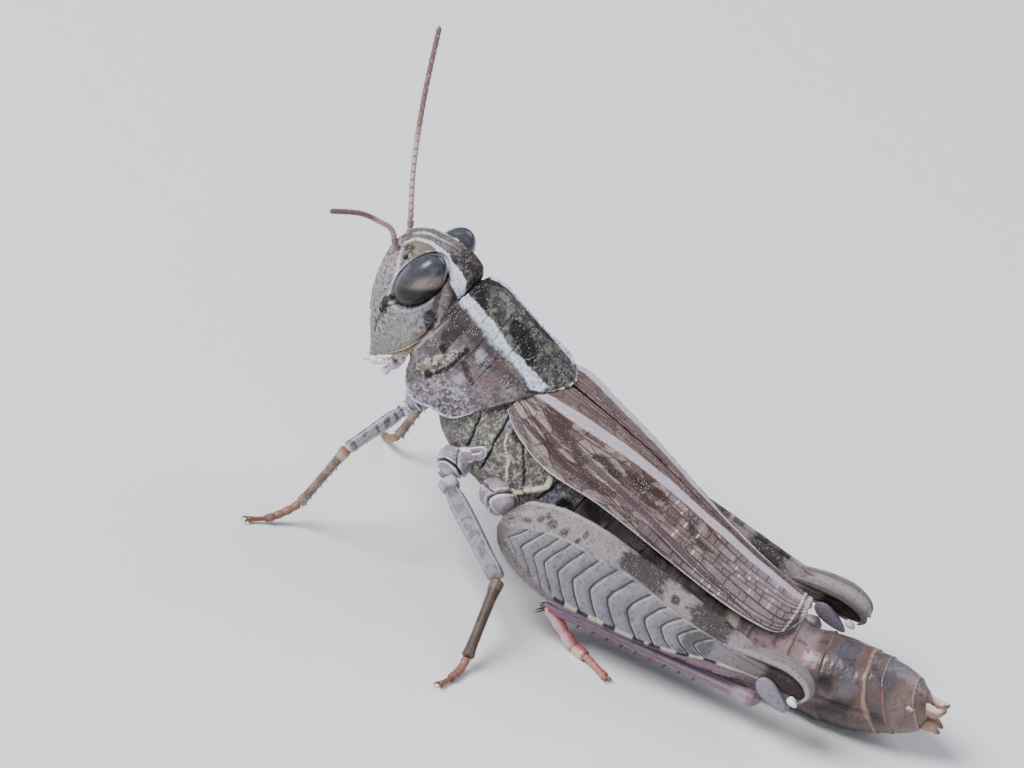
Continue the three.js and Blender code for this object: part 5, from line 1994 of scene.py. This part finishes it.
@dataclass
class HindLeg(Leg):
    """A jumping leg: a deep thigh with herring-bone plates, a hooded knee and a spined shin."""

    sections: Rows = (
        (0, 0.35, 0.35, 0.4), (0.025, 1.05, 1.0, 0.75), (0.07, 1.6, 1.5, 0.92), (0.14, 1.95, 1.95, 1.0),
        (0.24, 2.08, 2.16, 1.0), (0.4, 1.86, 1.98, 0.95), (0.58, 1.45, 1.55, 0.82), (0.73, 1.08, 1.16, 0.68),
        (0.83, 0.84, 0.8, 0.52), (0.9, 0.88, 0.62, 0.4), (0.96, 0.84, 0.5, 0.36), (1.0, 0.5, 0.4, 0.26),
    )
    hip_rows: Rows = ((0, 1.0), (0.4, 0.98), (0.75, 0.72), (1, 0.48))
    shin_rows: Rows = ((0, 0.4), (0.04, 0.42), (0.1, 0.3), (0.3, 0.29), (0.8, 0.31), (0.95, 0.37), (1, 0.36))
    lean: float = 14.0
    hip_grid: tuple[int, int] = (70, 64)
    shin_grid: tuple[int, int] = (52, 220)
    rows: int = 420
    columns: int = 190
    plates: Rows = ((0.0, -3.0), (0.045, -2), (0.09, -1), (0.135, 0), (0.172, 1), (0.217, 2), (0.265, 3),
                    (0.32, 4), (0.377, 5), (0.44, 6), (0.496, 7), (0.548, 8), (0.6, 9), (0.65, 10),
                    (0.7, 11), (1.0, 17))
    upper_line: Rows = ((0.0, -0.05), (0.035, 0.12), (0.075, 0.32), (0.122, 0.43), (0.21, 0.5), (0.31, 0.5),
                        (0.4, 0.545), (0.51, 0.454), (0.62, 0.36), (0.72, 0.34), (0.85, 0.3), (1.0, 0.3))
    lower_line: Rows = ((0.0, -0.15), (0.04, -0.35), (0.09, -0.52), (0.17, -0.7), (0.25, -0.82),
                        (0.33, -0.83), (0.42, -0.85), (0.51, -0.86), (0.59, -0.81), (0.64, -0.71),
                        (0.715, -0.5), (0.85, -0.45), (1.0, -0.45))
    black_pieces: Sequence[float] = (0.257, 0.333, 0.416, 0.508, 0.556, 0.637, 0.715)
    roof_spots: Rows = ((0.068, 0.56, 0.007), (0.096, 0.7, 0.009), (0.14, 0.69, 0.011),
                        (0.178, 0.62, 0.008), (0.033, 0.52, 0.005), (0.225, 0.6, 0.006),
                        (0.24, 0.78, 0.008), (0.115, 0.82, 0.006), (0.55, 0.7, 0.012))
    hood_roof: Rows = ((0.76, 0.5, 0), (0.82, 0.74, 0), (0.88, 0.92, 0), (0.935, 0.96, 0), (0.99, 0.68, 0),
                       (1.012, 0.2, 0))
    hood_side: Rows = ((0.74, 0.34, 0.5), (0.8, 0.62, 0.46), (0.87, 0.86, 0.48), (0.93, 0.92, 0.5),
                       (0.985, 0.62, 0.46), (1.005, 0.16, 0.42), (0.992, -0.3, 0.38))
    hood_grid: tuple[int, int] = (110, 36)

    def build(self, side: int, suffix: str) -> list[bpy.types.Object]:
        """Models the hip, thigh, shin and foot.

        Args:
            side: -1 for the left and 1 for the right.
            suffix: The side's name.

        Returns:
            The four pieces.
        """
        joints = self.joints(side)
        label = f"{self.name}_{suffix}"
        hip = self.hip_piece(joints, label, scaled(self.hip_rows, self.coxa_radius), self.hip_grid, 61)
        shin = Casting(f"shin_{label}", HIND_SHIN_FINISH, "red_shin", (f"tibia_{label}",))
        self.shin_on(shin, joints)
        foot = Casting(f"foot_{label}", HIND_FOOT_FINISH, "foot_cuticle", (f"tarsus_{label}",))
        self.foot_on(foot, joints, self.foot)
        return [hip.cast(), self.thigh_piece(joints, side, label), shin.cast(), foot.cast()]

    def frame(self, joints: Joints, side: int) -> tuple[Array, Array, Array, float]:
        """The thigh's own directions.

        Args:
            joints: The leg's joints.
            side: -1 for the left and 1 for the right.

        Returns:
            Directions toward the knee, up and away from the body, and the thigh's length.
        """
        ahead = unit(joints.knee - joints.base)
        lean = math.radians(self.lean)
        up = np.array((0.0, -side * math.sin(lean), math.cos(lean)))
        up = unit(up - (up @ ahead) * ahead)
        return ahead, up, np.cross(ahead, up) * -side, float(np.linalg.norm(joints.knee - joints.base))

    def thigh_piece(self, joints: Joints, side: int, label: str) -> bpy.types.Object:
        """Models the thigh with its plates, keels and knee.

        Args:
            joints: The leg's joints.
            side: -1 for the left and 1 for the right.
            label: The leg's name and side.

        Returns:
            The thigh.
        """
        ahead, up, out, length = self.frame(joints, side)
        t = np.linspace(0, 1, self.rows)[:, None]
        share = (0.5 - 0.5 * np.cos(np.pi * t)) * 0.4 + t * 0.6 + 0 * ring(self.columns)[None]
        angle = ring(self.columns)[None]
        above, below, half = (keyed(self.sections, share, k) for k in (1, 2, 3))
        rise = np.cos(angle) * np.where(np.cos(angle) > 0, above, below)
        across = np.sin(angle) * half
        tall = np.cos(angle) + 0 * share
        lift, marks = self.plating(share, tall, np.sin(angle) + 0 * share, length)
        grid = (joints.base + ahead * (share * length)[..., None] + up * rise[..., None]
                + out * across[..., None])
        grid = grid + outward(grid) * lift[..., None]
        part = Casting(f"thigh_{label}", THIGH_FINISH, "thigh_cuticle", (f"femur_{label}",))
        part.sheet(grid, marks, evened(grid))
        self.knee_hood(part, joints, ahead, up, out, length)
        return part.cast()

    def plating(self, share: Array, tall: Array, outer: Array, length: float) -> tuple[Array, Marks]:
        """Works out the herring-bone plates, keels, bands and spots of the thigh.

        Args:
            share: The share toward the knee.
            tall: The height in the section, from -1 to 1.
            outer: 1 on the outer face and -1 on the inner.
            length: The thigh's length.

        Returns:
            How far each point is raised, and its marks.
        """
        lumps = cloud(np.stack((share * length, tall * 2, outer), -1), 2.0, 62) - 0.5
        fine = cloud(np.stack((share * length, tall * 2, outer), -1), 7.0, 64) - 0.5
        high, low = (keyed(line, share) for line in (self.upper_line, self.lower_line))
        middle = -0.2 + 0.02 * lumps
        panel = smooth(high + 0.02, high - 0.02, tall) * smooth(low - 0.02, low + 0.02, tall)
        panel = panel * smooth(0.035, 0.055, share) * smooth(0.72, 0.69, share)
        climb = np.where(tall > middle, (tall - middle) / np.maximum(high - middle, 0.1),
                         (middle - tall) / np.maximum(middle - low, 0.1))
        slant = np.where(tall > middle, 0.042, 0.062) * np.clip(climb, 0, 1.2) ** 1.25
        phase = keyed(self.plates, share - slant + 0.004 * lumps)
        inside = phase - np.floor(phase)
        line = band(np.minimum(inside, 1 - inside), 0, 0.022, 0.065) * panel
        rim = band(inside, 0.16, 0.03, 0.05) + 0.4 * band(inside, 0.88, 0.015, 0.04)
        rim = rim * smooth(-0.2, 0.2, lumps + 0.1) * panel
        keel = band(tall, 1.0, 0.006, 0.02) + band(tall, -1.0, 0.006, 0.02)
        upper = band(tall, high, 0.012, 0.03)
        lower = band(tall, low, 0.06, 0.03)
        body = smooth(0.02, 0.05, share) * smooth(0.93, 0.88, share)
        flange = smooth(low - 0.02, low - 0.08, tall) * body
        roof = smooth(high + 0.02, high + 0.08, tall)
        _, gap, _ = cells(np.stack((share * length, tall * 1.8), -1), 1.7, 66)
        scales = smooth(0.24, 0.12, share) * (1 - panel)
        scale_rim = smooth(0.16, 0.06, gap) * scales
        lift = (0.045 * np.sin(np.pi * inside) * panel - 0.035 * line + 0.03 * rim + 0.1 * keel * body
                + 0.07 * (upper + lower) * body - 0.07 * flange + 0.03 * lumps
                - 0.1 * band(share, 0.845, 0.02, 0.06)
                + 0.03 * scales * smooth(0.1, 0.4, gap) + 0.015 * fine)
        wave = share + 0.04 * lumps + 0.03 * fine
        bands = band(wave, 0.43, 0.05, 0.045) + band(wave, 0.665, 0.04, 0.04)
        flat = np.stack((share + 0.02 * lumps, tall * 0.12), -1)
        spots = sum(spot(flat, (at, rise * 0.12), size, 0.007) for at, rise, size in self.roof_spots)
        black = sum(band(share, at, 0.015, 0.006) for at in self.black_pieces)
        last_plate = band(share, 0.66, 0.035, 0.02) * panel
        outside = smooth(-0.3, 0.1, outer)
        marks = {
            "line": held(line + 0.7 * smooth(0.05, 0.02, gap) * scales), "rim": rim,
            "field": panel * outside, "roof": roof * smooth(1.0, 0.85, share),
            "band": held(roof * bands * (1.3 + 1.2 * lumps) + spots + 0.7 * last_plate),
            "flange": flange * smooth(0.1, 0.3, share),
            "cream": held(lower * (1 - black) * body * smooth(0.2, 0.3, share)
                          + 0.45 * scale_rim * smooth(0.04, 0.07, gap)
                          + 0.55 * upper * body * smooth(0.72, 0.6, share) * smooth(-0.3, 0.1, lumps)
                          + 0.5 * keel * smooth(0.35, 0.2, share)),
            "black": held((lower + 0.8 * keel * smooth(0.3, 0.4, share)) * black * body),
            "knee": smooth(0.76, 0.84, share), "inner": 1 - outside, "neck": smooth(0.06, 0.02, share),
            "hollow": smooth(0.85, 0.88, share) * smooth(-0.6, -0.4, tall) * smooth(0.75, 0.6, tall),
            # The rear of each plate is darkened as painted shade of its bulge.
            "plate_edge": smooth(0.62, 0.95, inside) * panel,
        }
        return lift, marks

    def knee_hood(self, part: Casting, joints: Joints, ahead: Array, up: Array, out: Array,
                  length: float) -> None:
        """Adds the arched hood, the lobes and the white pivot of the knee.

        Args:
            part: The thigh's mesh.
            joints: The leg's joints.
            ahead: The direction toward the knee.
            up: The thigh's up.
            out: The direction away from the body.
            length: The thigh's length.
        """
        def place(share: float, rise: float, away: float) -> Array:
            """Finds a place by the thigh's own measures.

            Args:
                share: The share of the thigh's length.
                rise: How high it lies, in millimetres.
                away: How far out it lies, in millimetres.

            Returns:
                The place in the frame.
            """
            return joints.base + ahead * share * length + up * rise + out * away

        along, around = self.hood_grid
        turn = ring(around)
        roof = curve_through([place(*at) for at in self.hood_roof], along)
        share = np.linspace(0, 1, along)[:, None]
        width = 0.5 * rounded(share, 0.3, 0.12)
        section = np.stack((np.cos(turn) * 0.1 + 0 * width, np.sin(turn) * width), -1)
        part.sheet(sweep(roof, out, section),
                   {"hood": 1.0, "knee": 1.0, "hood_rim": 0 * width + np.cos(turn) ** 4})
        for sign in (-1, 1):
            route = [place(at, rise, away * sign) for at, rise, away in self.hood_side]
            path = curve_through(route, along)
            size = 0.24 * rounded(share, 0.4, 0.16) * (1 - 0.3 * smooth(0.6, 1, share))
            fold = 1 - 0.1 * band(np.sin(turn), 0.15, 0.1, 0.2)[None]
            section = np.stack((np.sin(turn) * size * fold, np.cos(turn) * size * 0.62 * fold), -1)
            part.sheet(sweep(path, out, section), {
                "hood": 1.0, "knee": 1.0, "hood_rim": smooth(0.5, 0.85, np.cos(turn))[None] + 0 * share,
                "hood_line": 0.5 * band(np.sin(turn), -0.55, 0.1, 0.15)[None] * smooth(0.1, 0.3, share)})
            polar = np.linspace(0.02, math.pi - 0.02, 26)[:, None]
            ball = np.stack((np.cos(polar) + 0 * turn, np.sin(polar) * np.sin(turn),
                             np.sin(polar) * np.cos(turn)), -1)
            for share_at, rise, away, sizes, mark in (
                    (0.915, -0.62, 0.46, (1.0, 0.44, 0.2), "lobe"),
                    (0.975, -0.42, 0.46, (0.3, 0.2, 0.17), "pivot")):
                tilt = unit(ahead - up * 0.42)
                rise_dir = unit(np.cross(out, tilt))
                rise_dir = rise_dir * np.sign(rise_dir @ up)
                taper = 1 - 0.35 * ball[..., :1]
                grid = (place(share_at, rise, away * sign) + tilt * (ball[..., :1] * sizes[0])
                        + rise_dir * (ball[..., 1:2] * sizes[1] * taper) + out * (ball[..., 2:] * sizes[2]))
                edge = smooth(0.75, 0.95, np.abs(ball[..., 1]))
                part.sheet(grid, {mark: 1.0, "knee": 1.0, "hood_line": 0.6 * edge * (mark == "lobe")})

    def shin_on(self, part: Casting, joints: Joints) -> None:
        """Adds the folded shin, its two rows of spines and its end spurs.

        Args:
            part: The shin's mesh.
            joints: The leg's joints.
        """
        grid, share, angle = self.limb(joints.heel, joints.ankle, self.shin_rows, *self.shin_grid, ribs=2,
                                       depth=0.06)
        height = np.cos(angle)
        marks = {
            "pale": band(share, 0.07, 0.03, 0.04), "line": band(height, 0.4, 0.15, 0.15),
            "red": held(smooth(0.88, 0.98, share) + 0.6 * band(height, -0.16, 0.04, 0.06)),
            "dark": held(0.7 * band(share, 0.035, 0.01, 0.02)
                         + 0.9 * smooth(0.35, 0.7, np.sin(85 * share)) * band(height, 0.1, 0.06, 0.06)
                         * band(share, 0.55, 0.35, 0.08)),
        }
        part.sheet(grid, marks, evened(grid))
        ahead = joints.ankle - joints.heel
        shares = np.linspace(0.28, 0.95, 11)
        for sign in (-1, 1):
            away = unit(np.array((-0.55, sign * 0.6, -0.8)))
            root = joints.heel + ahead * shares[:, None] + away * 0.2
            root[:, 2] = np.maximum(root[:, 2], 0.1)
            part.thorns(root, root + away * 0.36, 0.085, {"spine": 1.0}, sides=10)
        away = unit(ahead)
        for lateral, drop in ((0.22, -0.2), (-0.22, -0.2), (0.2, -0.05), (-0.2, -0.05)):
            root = joints.ankle - away * 0.1 + np.array((0, lateral, drop))
            tip = root + away * 0.45 + np.array((0, lateral, -0.32))
            part.thorns(root, tip, 0.075, {"spine": 1.0}, sides=10)
        self.bristles(part, grid, 90, 0.25, 63)


# ---------------------------------------------------------------- finishes

DUST = Tint("cdd0dc", "", 0.7, Pattern.SPECK, 10.5, 0.33, 0.2)
GRIT = mottle("2a2420", 6.0, 0.55, 0.66, 0.55)

HEAD_FINISH = Finish("head_hide", "827d80", (
    mottle("8b8b80", 0.7, 0.45, 0.6, 0.6), mottle("5d5650", 1.1, 0.5, 0.62, 0.6),
    mottle("aaa4a6", 2.2, 0.45, 0.62, 0.7), mottle("615a52", 3.6, 0.5, 0.62, 0.8),
    Tint("a1959a", "pink", 0.7), Tint("86877c", "cheek", 0.65), Tint("5d5555", "crown", 0.92),
    Tint("251c1b", "nape", 0.94), mottle("8a8484", 2.4, 0.5, 0.64, 0.45, "crown"),
    Tint("7f7b52", "olive", 0.6), mottle("3b332f", 7.0, 0.5, 0.57, 0.8, "flecked"),
    mottle("5c5249", 9.0, 0.54, 0.66, 0.5), Tint("ae9a72", "cream", 0.9), Tint("a0744f", "orange", 0.5),
    Tint("d6d9e4", "pale", 0.97), Tint("1c1614", "dark", 0.95), GRIT, DUST),
    rough=0.55, specular=0.25, grain_per_mm=9, grain_depth=0.04)
EYE_FINISH = Finish("eye_glaze", "353338", (
    # The upper tint is a painted highlight and the lower tint is painted shade.
    Tint("484b54", "upper", 0.75), Tint("95857b", "warm", 0.75), Tint("060404", "lower", 0.98),
    Tint("232024", "stripe", 0.12), mottle("2a262a", 2.5, 0.45, 0.7, 0.4), Tint("2c1310", "rim", 0.92)),
    rough=0.24, rough_spread=0.08, coat=0.18, specular=0.32, grain_per_mm=26, grain_depth=0.003)
FEELER_FINISH = Finish("feeler_hide", "865a54", (
    Tint("c4b2ae", "pale", 0.8), Tint("6a5455", "tip", 0.9), Tint("6b3f3a", "ring", 0.6),
    Tint("8f8177", "root", 0.7), mottle("bfb0a8", 6.0, 0.52, 0.66, 0.45)),
    rough=0.5, grain_per_mm=14, grain_depth=0.01)
MOUTH_FINISH = Finish("mouth_hide", "a59a93", (
    Tint("b8a9a6", "pink", 0.7), mottle("6a5f58", 3.0, 0.5, 0.66, 0.6), Tint("2c2321", "dark", 0.85), DUST),
    rough=0.5)
PALP_FINISH = Finish("palp_hide", "dedbe4", (
    Tint("8d817b", "joint", 0.8), mottle("a59a96", 3.5, 0.5, 0.65, 0.6)),
    rough=0.45, through=0.1, grain_depth=0.01)
PRONOTUM_FINISH = Finish("saddle_hide", "544d4d", (
    mottle("7b767c", 1.4, 0.45, 0.6, 0.7), mottle("4b4443", 2.6, 0.5, 0.62, 0.8),
    mottle("776463", 1.6, 0.4, 0.55, 0.7, "brown"), Tint("2a221f", "shade", 0.88),
    mottle("a39ea4", 5.5, 0.5, 0.56, 0.75, "dusty"), Tint("34302c", "disc", 0.92),
    mottle("6f6d62", 2.6, 0.44, 0.6, 0.8, "disc"), Tint("181311", "front_disc", 0.9),
    Tint("83776e", "callus", 0.5), mottle("b8ab9c", 4.6, 0.48, 0.54, 0.85, "callus"),
    mottle("2f2622", 3.4, 0.54, 0.6, 0.8, "callus"), Tint("9a9aa6", "knob", 0.65),
    Tint("d4d8ea", "pale", 0.95), mottle("8a8892", 5.0, 0.52, 0.62, 0.55, "pale"),
    Tint("c0c4d0", "rim", 0.85), Tint("d8d8c8", "bead", 0.95), Tint("100c0b", "dark", 0.95), GRIT, DUST),
    rough=0.6, specular=0.25, grain_per_mm=8, grain_depth=0.05, pit_per_mm=3.6, pit_depth=0.04)
THORAX_FINISH = Finish("plate_hide", "57544e", (
    mottle("6a6862", 1.6, 0.46, 0.6, 0.8), Tint("b0ada2", "worm", 0.7), Tint("8a8793", "lilac", 0.8),
    Tint("6f6a66", "low", 0.5), mottle("3a3632", 3.2, 0.52, 0.62, 0.7), Tint("ded6b6", "pale", 0.95),
    Tint("140f0d", "dark", 0.95), GRIT, DUST),
    rough=0.6, specular=0.25, grain_per_mm=9, grain_depth=0.05)
WING_FINISH = Finish("wing_hide", "62504e", (
    Tint("a39389", "tone", 0.8), Tint("3c2c27", "gloom", 0.7), Tint("a0949a", "lane", 0.45),
    Tint("6d5d5c", "", 0.25, Pattern.STREAK, 2.2, 0.5, 0.62), Tint("8f858c", "tip", 0.5),
    Tint("7d7276", "fore", 0.35), Tint("6a5853", "top", 0.7), Tint("2b1f1c", "patch", 0.7),
    Tint("2f1d1b", "cross", 0.75), Tint("d4cfd4", "white_net", 0.85), Tint("3d1f1d", "vein", 0.85),
    Tint("c6bcc8", "stripe", 0.9), Tint("94686e", "net", 0.5), Tint("cabcb8", "border", 0.85),
    Tint("d6dae4", "", 0.5, Pattern.SPECK, 10.5, 0.32, 0.2)),
    rough=0.5, specular=0.3, grain_per_mm=10, grain_depth=0.03)
BELLY_FINISH = Finish("belly_hide", "534a4c", (
    mottle("6d6062", 1.2, 0.45, 0.6, 0.6), Tint("8b7474", "neck", 0.85), Tint("a89a8a", "tan", 0.75),
    # The bluish tint on the tail rings is a painted highlight.
    Tint("544541", "tail", 0.8), Tint("6b453d", "red", 0.5), Tint("5f6470", "blue", 0.5),
    Tint("141112", "dark", 0.85), Tint("5f5350", "low", 0.4), Tint("7a675f", "tip", 0.6),
    Tint("97806f", "edge", 0.65), Tint("241917", "seam", 0.7), mottle("332829", 2.4, 0.5, 0.66, 0.6)),
    rough=0.3, rough_spread=0.2, specular=0.45, grain_per_mm=7, grain_depth=0.02)
BLADE_FINISH = Finish("blade_horn", "8a6f5d", (
    Tint("d6c6ae", "rim", 0.9), Tint("3a2a24", "tip", 0.8), mottle("6d5547", 2.5, 0.5, 0.65, 0.5)),
    rough=0.3, coat=0.2, grain_depth=0.01)
LEG_FINISH = Finish("leg_hide", "7b7577", (
    mottle("9e9799", 1.5, 0.45, 0.6, 0.7), mottle("595250", 2.6, 0.5, 0.62, 0.75),
    Tint("9896a2", "lilac", 0.5), Tint("857b88", "plate", 0.75), Tint("ded8dc", "pale", 0.85),
    Tint("1d1917", "dark", 0.9), Tint("6a6a78", "shaded", 0.5), Tint("cfc8c0", "bristle", 0.6), GRIT),
    rough=0.55, grain_per_mm=8, grain_depth=0.03)
SHIN_FINISH = Finish("shin_hide", "7d6a58", (
    mottle("978a80", 1.6, 0.45, 0.6, 0.6), Tint("c0b3a0", "pale", 0.7), Tint("4e3a2c", "dark", 0.75),
    Tint("40332a", "shaded", 0.8), Tint("7a4432", "rust", 0.7), Tint("2a201b", "tip", 0.8),
    Tint("c8beb2", "bristle", 0.6), GRIT),
    rough=0.5, grain_depth=0.02)
FOOT_FINISH = Finish("foot_hide", "795445", (
    Tint("a88a76", "pad", 0.6), Tint("9a6a50", "back", 0.4), Tint("7c4636", "claw_joint", 0.7),
    Tint("241a18", "claw", 0.9), Tint("3e2a22", "dark", 0.6), mottle("6b4a3a", 3, 0.5, 0.64, 0.6)),
    rough=0.45, grain_depth=0.02)
HIND_FOOT_FINISH = Finish("hind_foot_hide", "c3a3a0", (
    Tint("a2464c", "back", 0.85), Tint("d3bdba", "pad", 0.7), Tint("8e4a44", "claw_joint", 0.75),
    Tint("241a18", "claw", 0.9), Tint("5e2f2e", "dark", 0.7), mottle("b58a86", 3, 0.5, 0.64, 0.4)),
    rough=0.4, through=0.08, grain_depth=0.02)
HIND_SHIN_FINISH = Finish("red_shin_hide", "75626c", (
    Tint("8f4450", "red", 0.8), Tint("a8989a", "pale", 0.8), Tint("8c88a0", "line", 0.75),
    Tint("2a1f20", "spine", 0.9), Tint("3a2a2a", "dark", 0.8), Tint("d0c6c0", "bristle", 0.6),
    mottle("7c5560", 2.2, 0.48, 0.64, 0.6)),
    rough=0.42, grain_depth=0.015)
THIGH_FINISH = Finish("thigh_hide", "726c6f", (
    Tint("807d86", "field", 0.85), Tint("8a8382", "roof", 0.8),
    mottle("524c50", 1.5, 0.5, 0.66, 0.4, "field"), mottle("6f686a", 1.8, 0.48, 0.64, 0.6),
    Tint("80636f", "flange", 0.8), Tint("857478", "inner", 0.5), Tint("1f1a19", "band", 0.85),
    # The plate darkening tint below is painted shade.
    Tint("58525a", "plate_edge", 0.75), Tint("b1ac98", "rim", 0.6), Tint("2c2120", "line", 0.9),
    Tint("b9b4a2", "cream", 0.8), Tint("0e0b0b", "black", 0.95), Tint("5a4c48", "knee", 0.6),
    Tint("200d0c", "hollow", 0.92), Tint("736b6b", "hood", 0.95), Tint("78737e", "lobe", 0.95),
    Tint("a0968f", "hood_rim", 0.6), Tint("3a2420", "hood_line", 0.85), Tint("e4ded8", "pivot", 1.0),
    Tint("39312e", "neck", 0.6), mottle("3b3434", 6.5, 0.55, 0.64, 0.5),
    Tint("cdd0dc", "roof", 0.55, Pattern.SPECK, 11.5, 0.31, 0.2)),
    rough=0.5, specular=0.3, grain_per_mm=9, grain_depth=0.035)
FLOOR_FINISH = Finish("studio_floor", "d9d6d1", (), rough=0.85, rough_spread=0.05, specular=0.2,
                      grain_per_mm=0.4, grain_depth=0.05)


# ---------------------------------------------------------------- studio

@dataclass
class Studio:
    """A pale floor, soft lamps and the camera."""

    eye: tuple[float, float, float] = (27.81, -265.02, 145.80)
    right: tuple[float, float, float] = (0.9132, 0.2759, 0.2999)
    up: tuple[float, float, float] = (-0.3902, 0.3798, 0.8387)
    forward: tuple[float, float, float] = (-0.1175, 0.8829, -0.4545)
    lens: float = 224.65
    sensor: float = 36.0
    reach: float = 3.0
    aim: tuple[float, float, float] = (0, 0, 0.008)
    sky: tuple[float, float, float, float] = (0.8, 0.84, 0.9, 1.0)
    sky_strength: float = 0.24

    def floor(self) -> None:
        """Lays the floor."""
        mesh = bpy.data.meshes.new("studio_floor")
        corners = [(x * self.reach, y * self.reach, 0) for x, y in ((-1, -1), (1, -1), (1, 1), (-1, 1))]
        mesh.from_pydata(corners, [], [(0, 1, 2, 3)])
        mesh.materials.append(FLOOR_FINISH.material())
        ground = bpy.data.objects.new("studio_floor", mesh)
        bpy.context.scene.collection.objects.link(ground)

    def camera(self) -> None:
        """Sets the camera up."""
        lens = bpy.data.cameras.new("camera")
        lens.lens = self.lens
        lens.sensor_width = self.sensor
        lens.clip_start = 0.01
        lens.clip_end = 50.0
        view = bpy.data.objects.new("camera", lens)
        axes = (Vector(self.right), Vector(self.up), -Vector(self.forward))
        turn = Matrix([[axis[row] for axis in axes] for row in range(3)]).to_4x4()
        view.matrix_world = Matrix.Translation(Vector(self.eye) * MM) @ turn
        bpy.context.scene.collection.objects.link(view)
        bpy.context.scene.camera = view

    def lamp(self, name: str, place: Sequence[float], size: float, power: float, tone: str) -> None:
        """Hangs one soft square lamp that faces the animal.

        Args:
            name: The lamp's name.
            place: Where it hangs, in metres.
            size: Its side, in metres.
            power: Its power in watts.
            tone: Its colour.
        """
        light = bpy.data.lights.new(name, "AREA")
        light.size = size
        light.energy = power
        light.color = colour_of(tone)[:3]
        hung = bpy.data.objects.new(name, light)
        hung.location = place
        hung.rotation_euler = (Vector(self.aim) - Vector(place)).to_track_quat("-Z", "Y").to_euler()
        bpy.context.scene.collection.objects.link(hung)

    def build(self) -> None:
        """Sets up the floor, the camera and the light."""
        self.floor()
        self.camera()
        self.lamp("key", (-0.3, -0.22, 0.4), 0.3, 5.3, "fbfaff")
        self.lamp("fill", (0.3, -0.4, 0.2), 0.4, 0.9, "eef2ff")
        self.lamp("back", (0.2, 0.35, 0.4), 0.4, 1.6, "eef3ff")
        world = bpy.data.worlds.new("room")
        world.use_nodes = True
        wired(world.node_tree, world.node_tree.nodes["Background"],
              {"Color": self.sky, "Strength": self.sky_strength})
        bpy.context.scene.world = world


# ---------------------------------------------------------------- the animal

FRONT_LEG = WalkingLeg(
    "front", 2.8, (2.75, 1.75, -2.75), 0.62, (-4.11, -1.3, 6.84), (-5.73, -4.3, 5.11), (-7.08, -3.8, 1.19),
    ((-7.5, -4.15, 0.72), (-8.15, -4.75, 0.3), (-8.95, -5.45, 0.2)), (0.5, -0.5, 0), 0.36, 0.26, 0.24)
MIDDLE_LEG = WalkingLeg(
    "middle", 6.2, (6.1, 2.1, -3.15), 0.75, (-1.14, -2.35, 4.7), (3.3, -6.2, 2.93), (3.65, -10.0, 0.62),
    ((3.62, -10.5, 0.3), (3.5, -11.4, 0.22), (3.2, -12.5, 0.2)), (-0.8, 0.3, 0), 0.5, 0.3, 0.25,
    folds=((0.2, ((5.98, 2.2, -2.9), (6.25, 2.62, -2.3), (6.45, 2.84, -1.75), (6.62, 2.92, -1.5),
                  (6.77, 2.92, -1.66), (6.7, 2.88, -1.98), (6.42, 2.66, -2.45))),
           (0.42, ((5.8, 1.8, -3.5), (6.15, 2.3, -2.9), (6.42, 2.6, -2.35), (6.6, 2.7, -2.0)))),
    shaded=1.0)
HIND_LEG = HindLeg(
    "hind", 12.0, (8.3, 2.25, -2.9), 0.82, (2.3, -3.55, 5.15), (18.55, -5.05, 3.05), (5.54, -4.25, 1.72),
    ((6.5, -4.35, 1.05), (7.5, -4.5, 0.36), (8.3, -4.9, 0.3), (9.6, -5.8, 0.2)), (0.5, 0.1, 0),
    1.0, 0.34, 0.32, heel=(16.6, -4.75, 1.7), base=(2.25, -4.2, 4.75))
FEELER_ROUTES = {
    -1: ((-7.75, -0.2, 14.5), (-8.15, -1.5, 15.3), (-8.8, -3.8, 16.45), (-9.75, -6.3, 17.2)),
    1: ((-7.4, 2.5, 13.7), (-8.24, 3.0, 16.3), (-8.95, 3.5, 19.8), (-9.42, 4.0, 23.2)),
}
PALPS = {
    -1: Palps(((0.72, 1.15, -3.2), (0.5, 1.25, -3.5), (0.1, 1.25, -3.88), (-0.45, 1.15, -4.35)),
              ((0.76, 1.1, -3.2), (0.84, 1, -3.6), (0.78, 1, -4.15))),
    1: Palps(((0.6, 0.95, -3.5), (0.62, 1.05, -4.4), (0.35, 1.15, -5.1), (-0.08, 1.15, -5.6)),
             ((0.66, 0.9, -3.5), (0.9, 0.85, -4.1), (0.85, 0.85, -4.7))),
}


def main() -> None:
    """Builds the studio and the animal, piece by piece."""
    logging.basicConfig(level=logging.INFO, format="%(message)s")
    Studio().build()
    eye = Eye()
    Head().build(eye)
    Mouth().build()
    Pronotum().build()
    Thorax().build()
    Abdomen().build()
    tail = Ovipositor()
    tail.build(tail.upper, "upper_blades", "ovipositor_upper", 1.0)
    tail.build(tail.lower, "lower_blades", "ovipositor_lower", -1.0)
    for side, suffix in ((-1, "left"), (1, "right")):
        eye.build(side, suffix)
        Feeler(FEELER_ROUTES[side]).build(side, suffix)
        PALPS[side].build(side, suffix)
        Forewing().build(side, suffix)
        for leg in (FRONT_LEG, MIDDLE_LEG, HIND_LEG):
            leg.build(side, suffix)


if __name__ == "__main__":
    main()
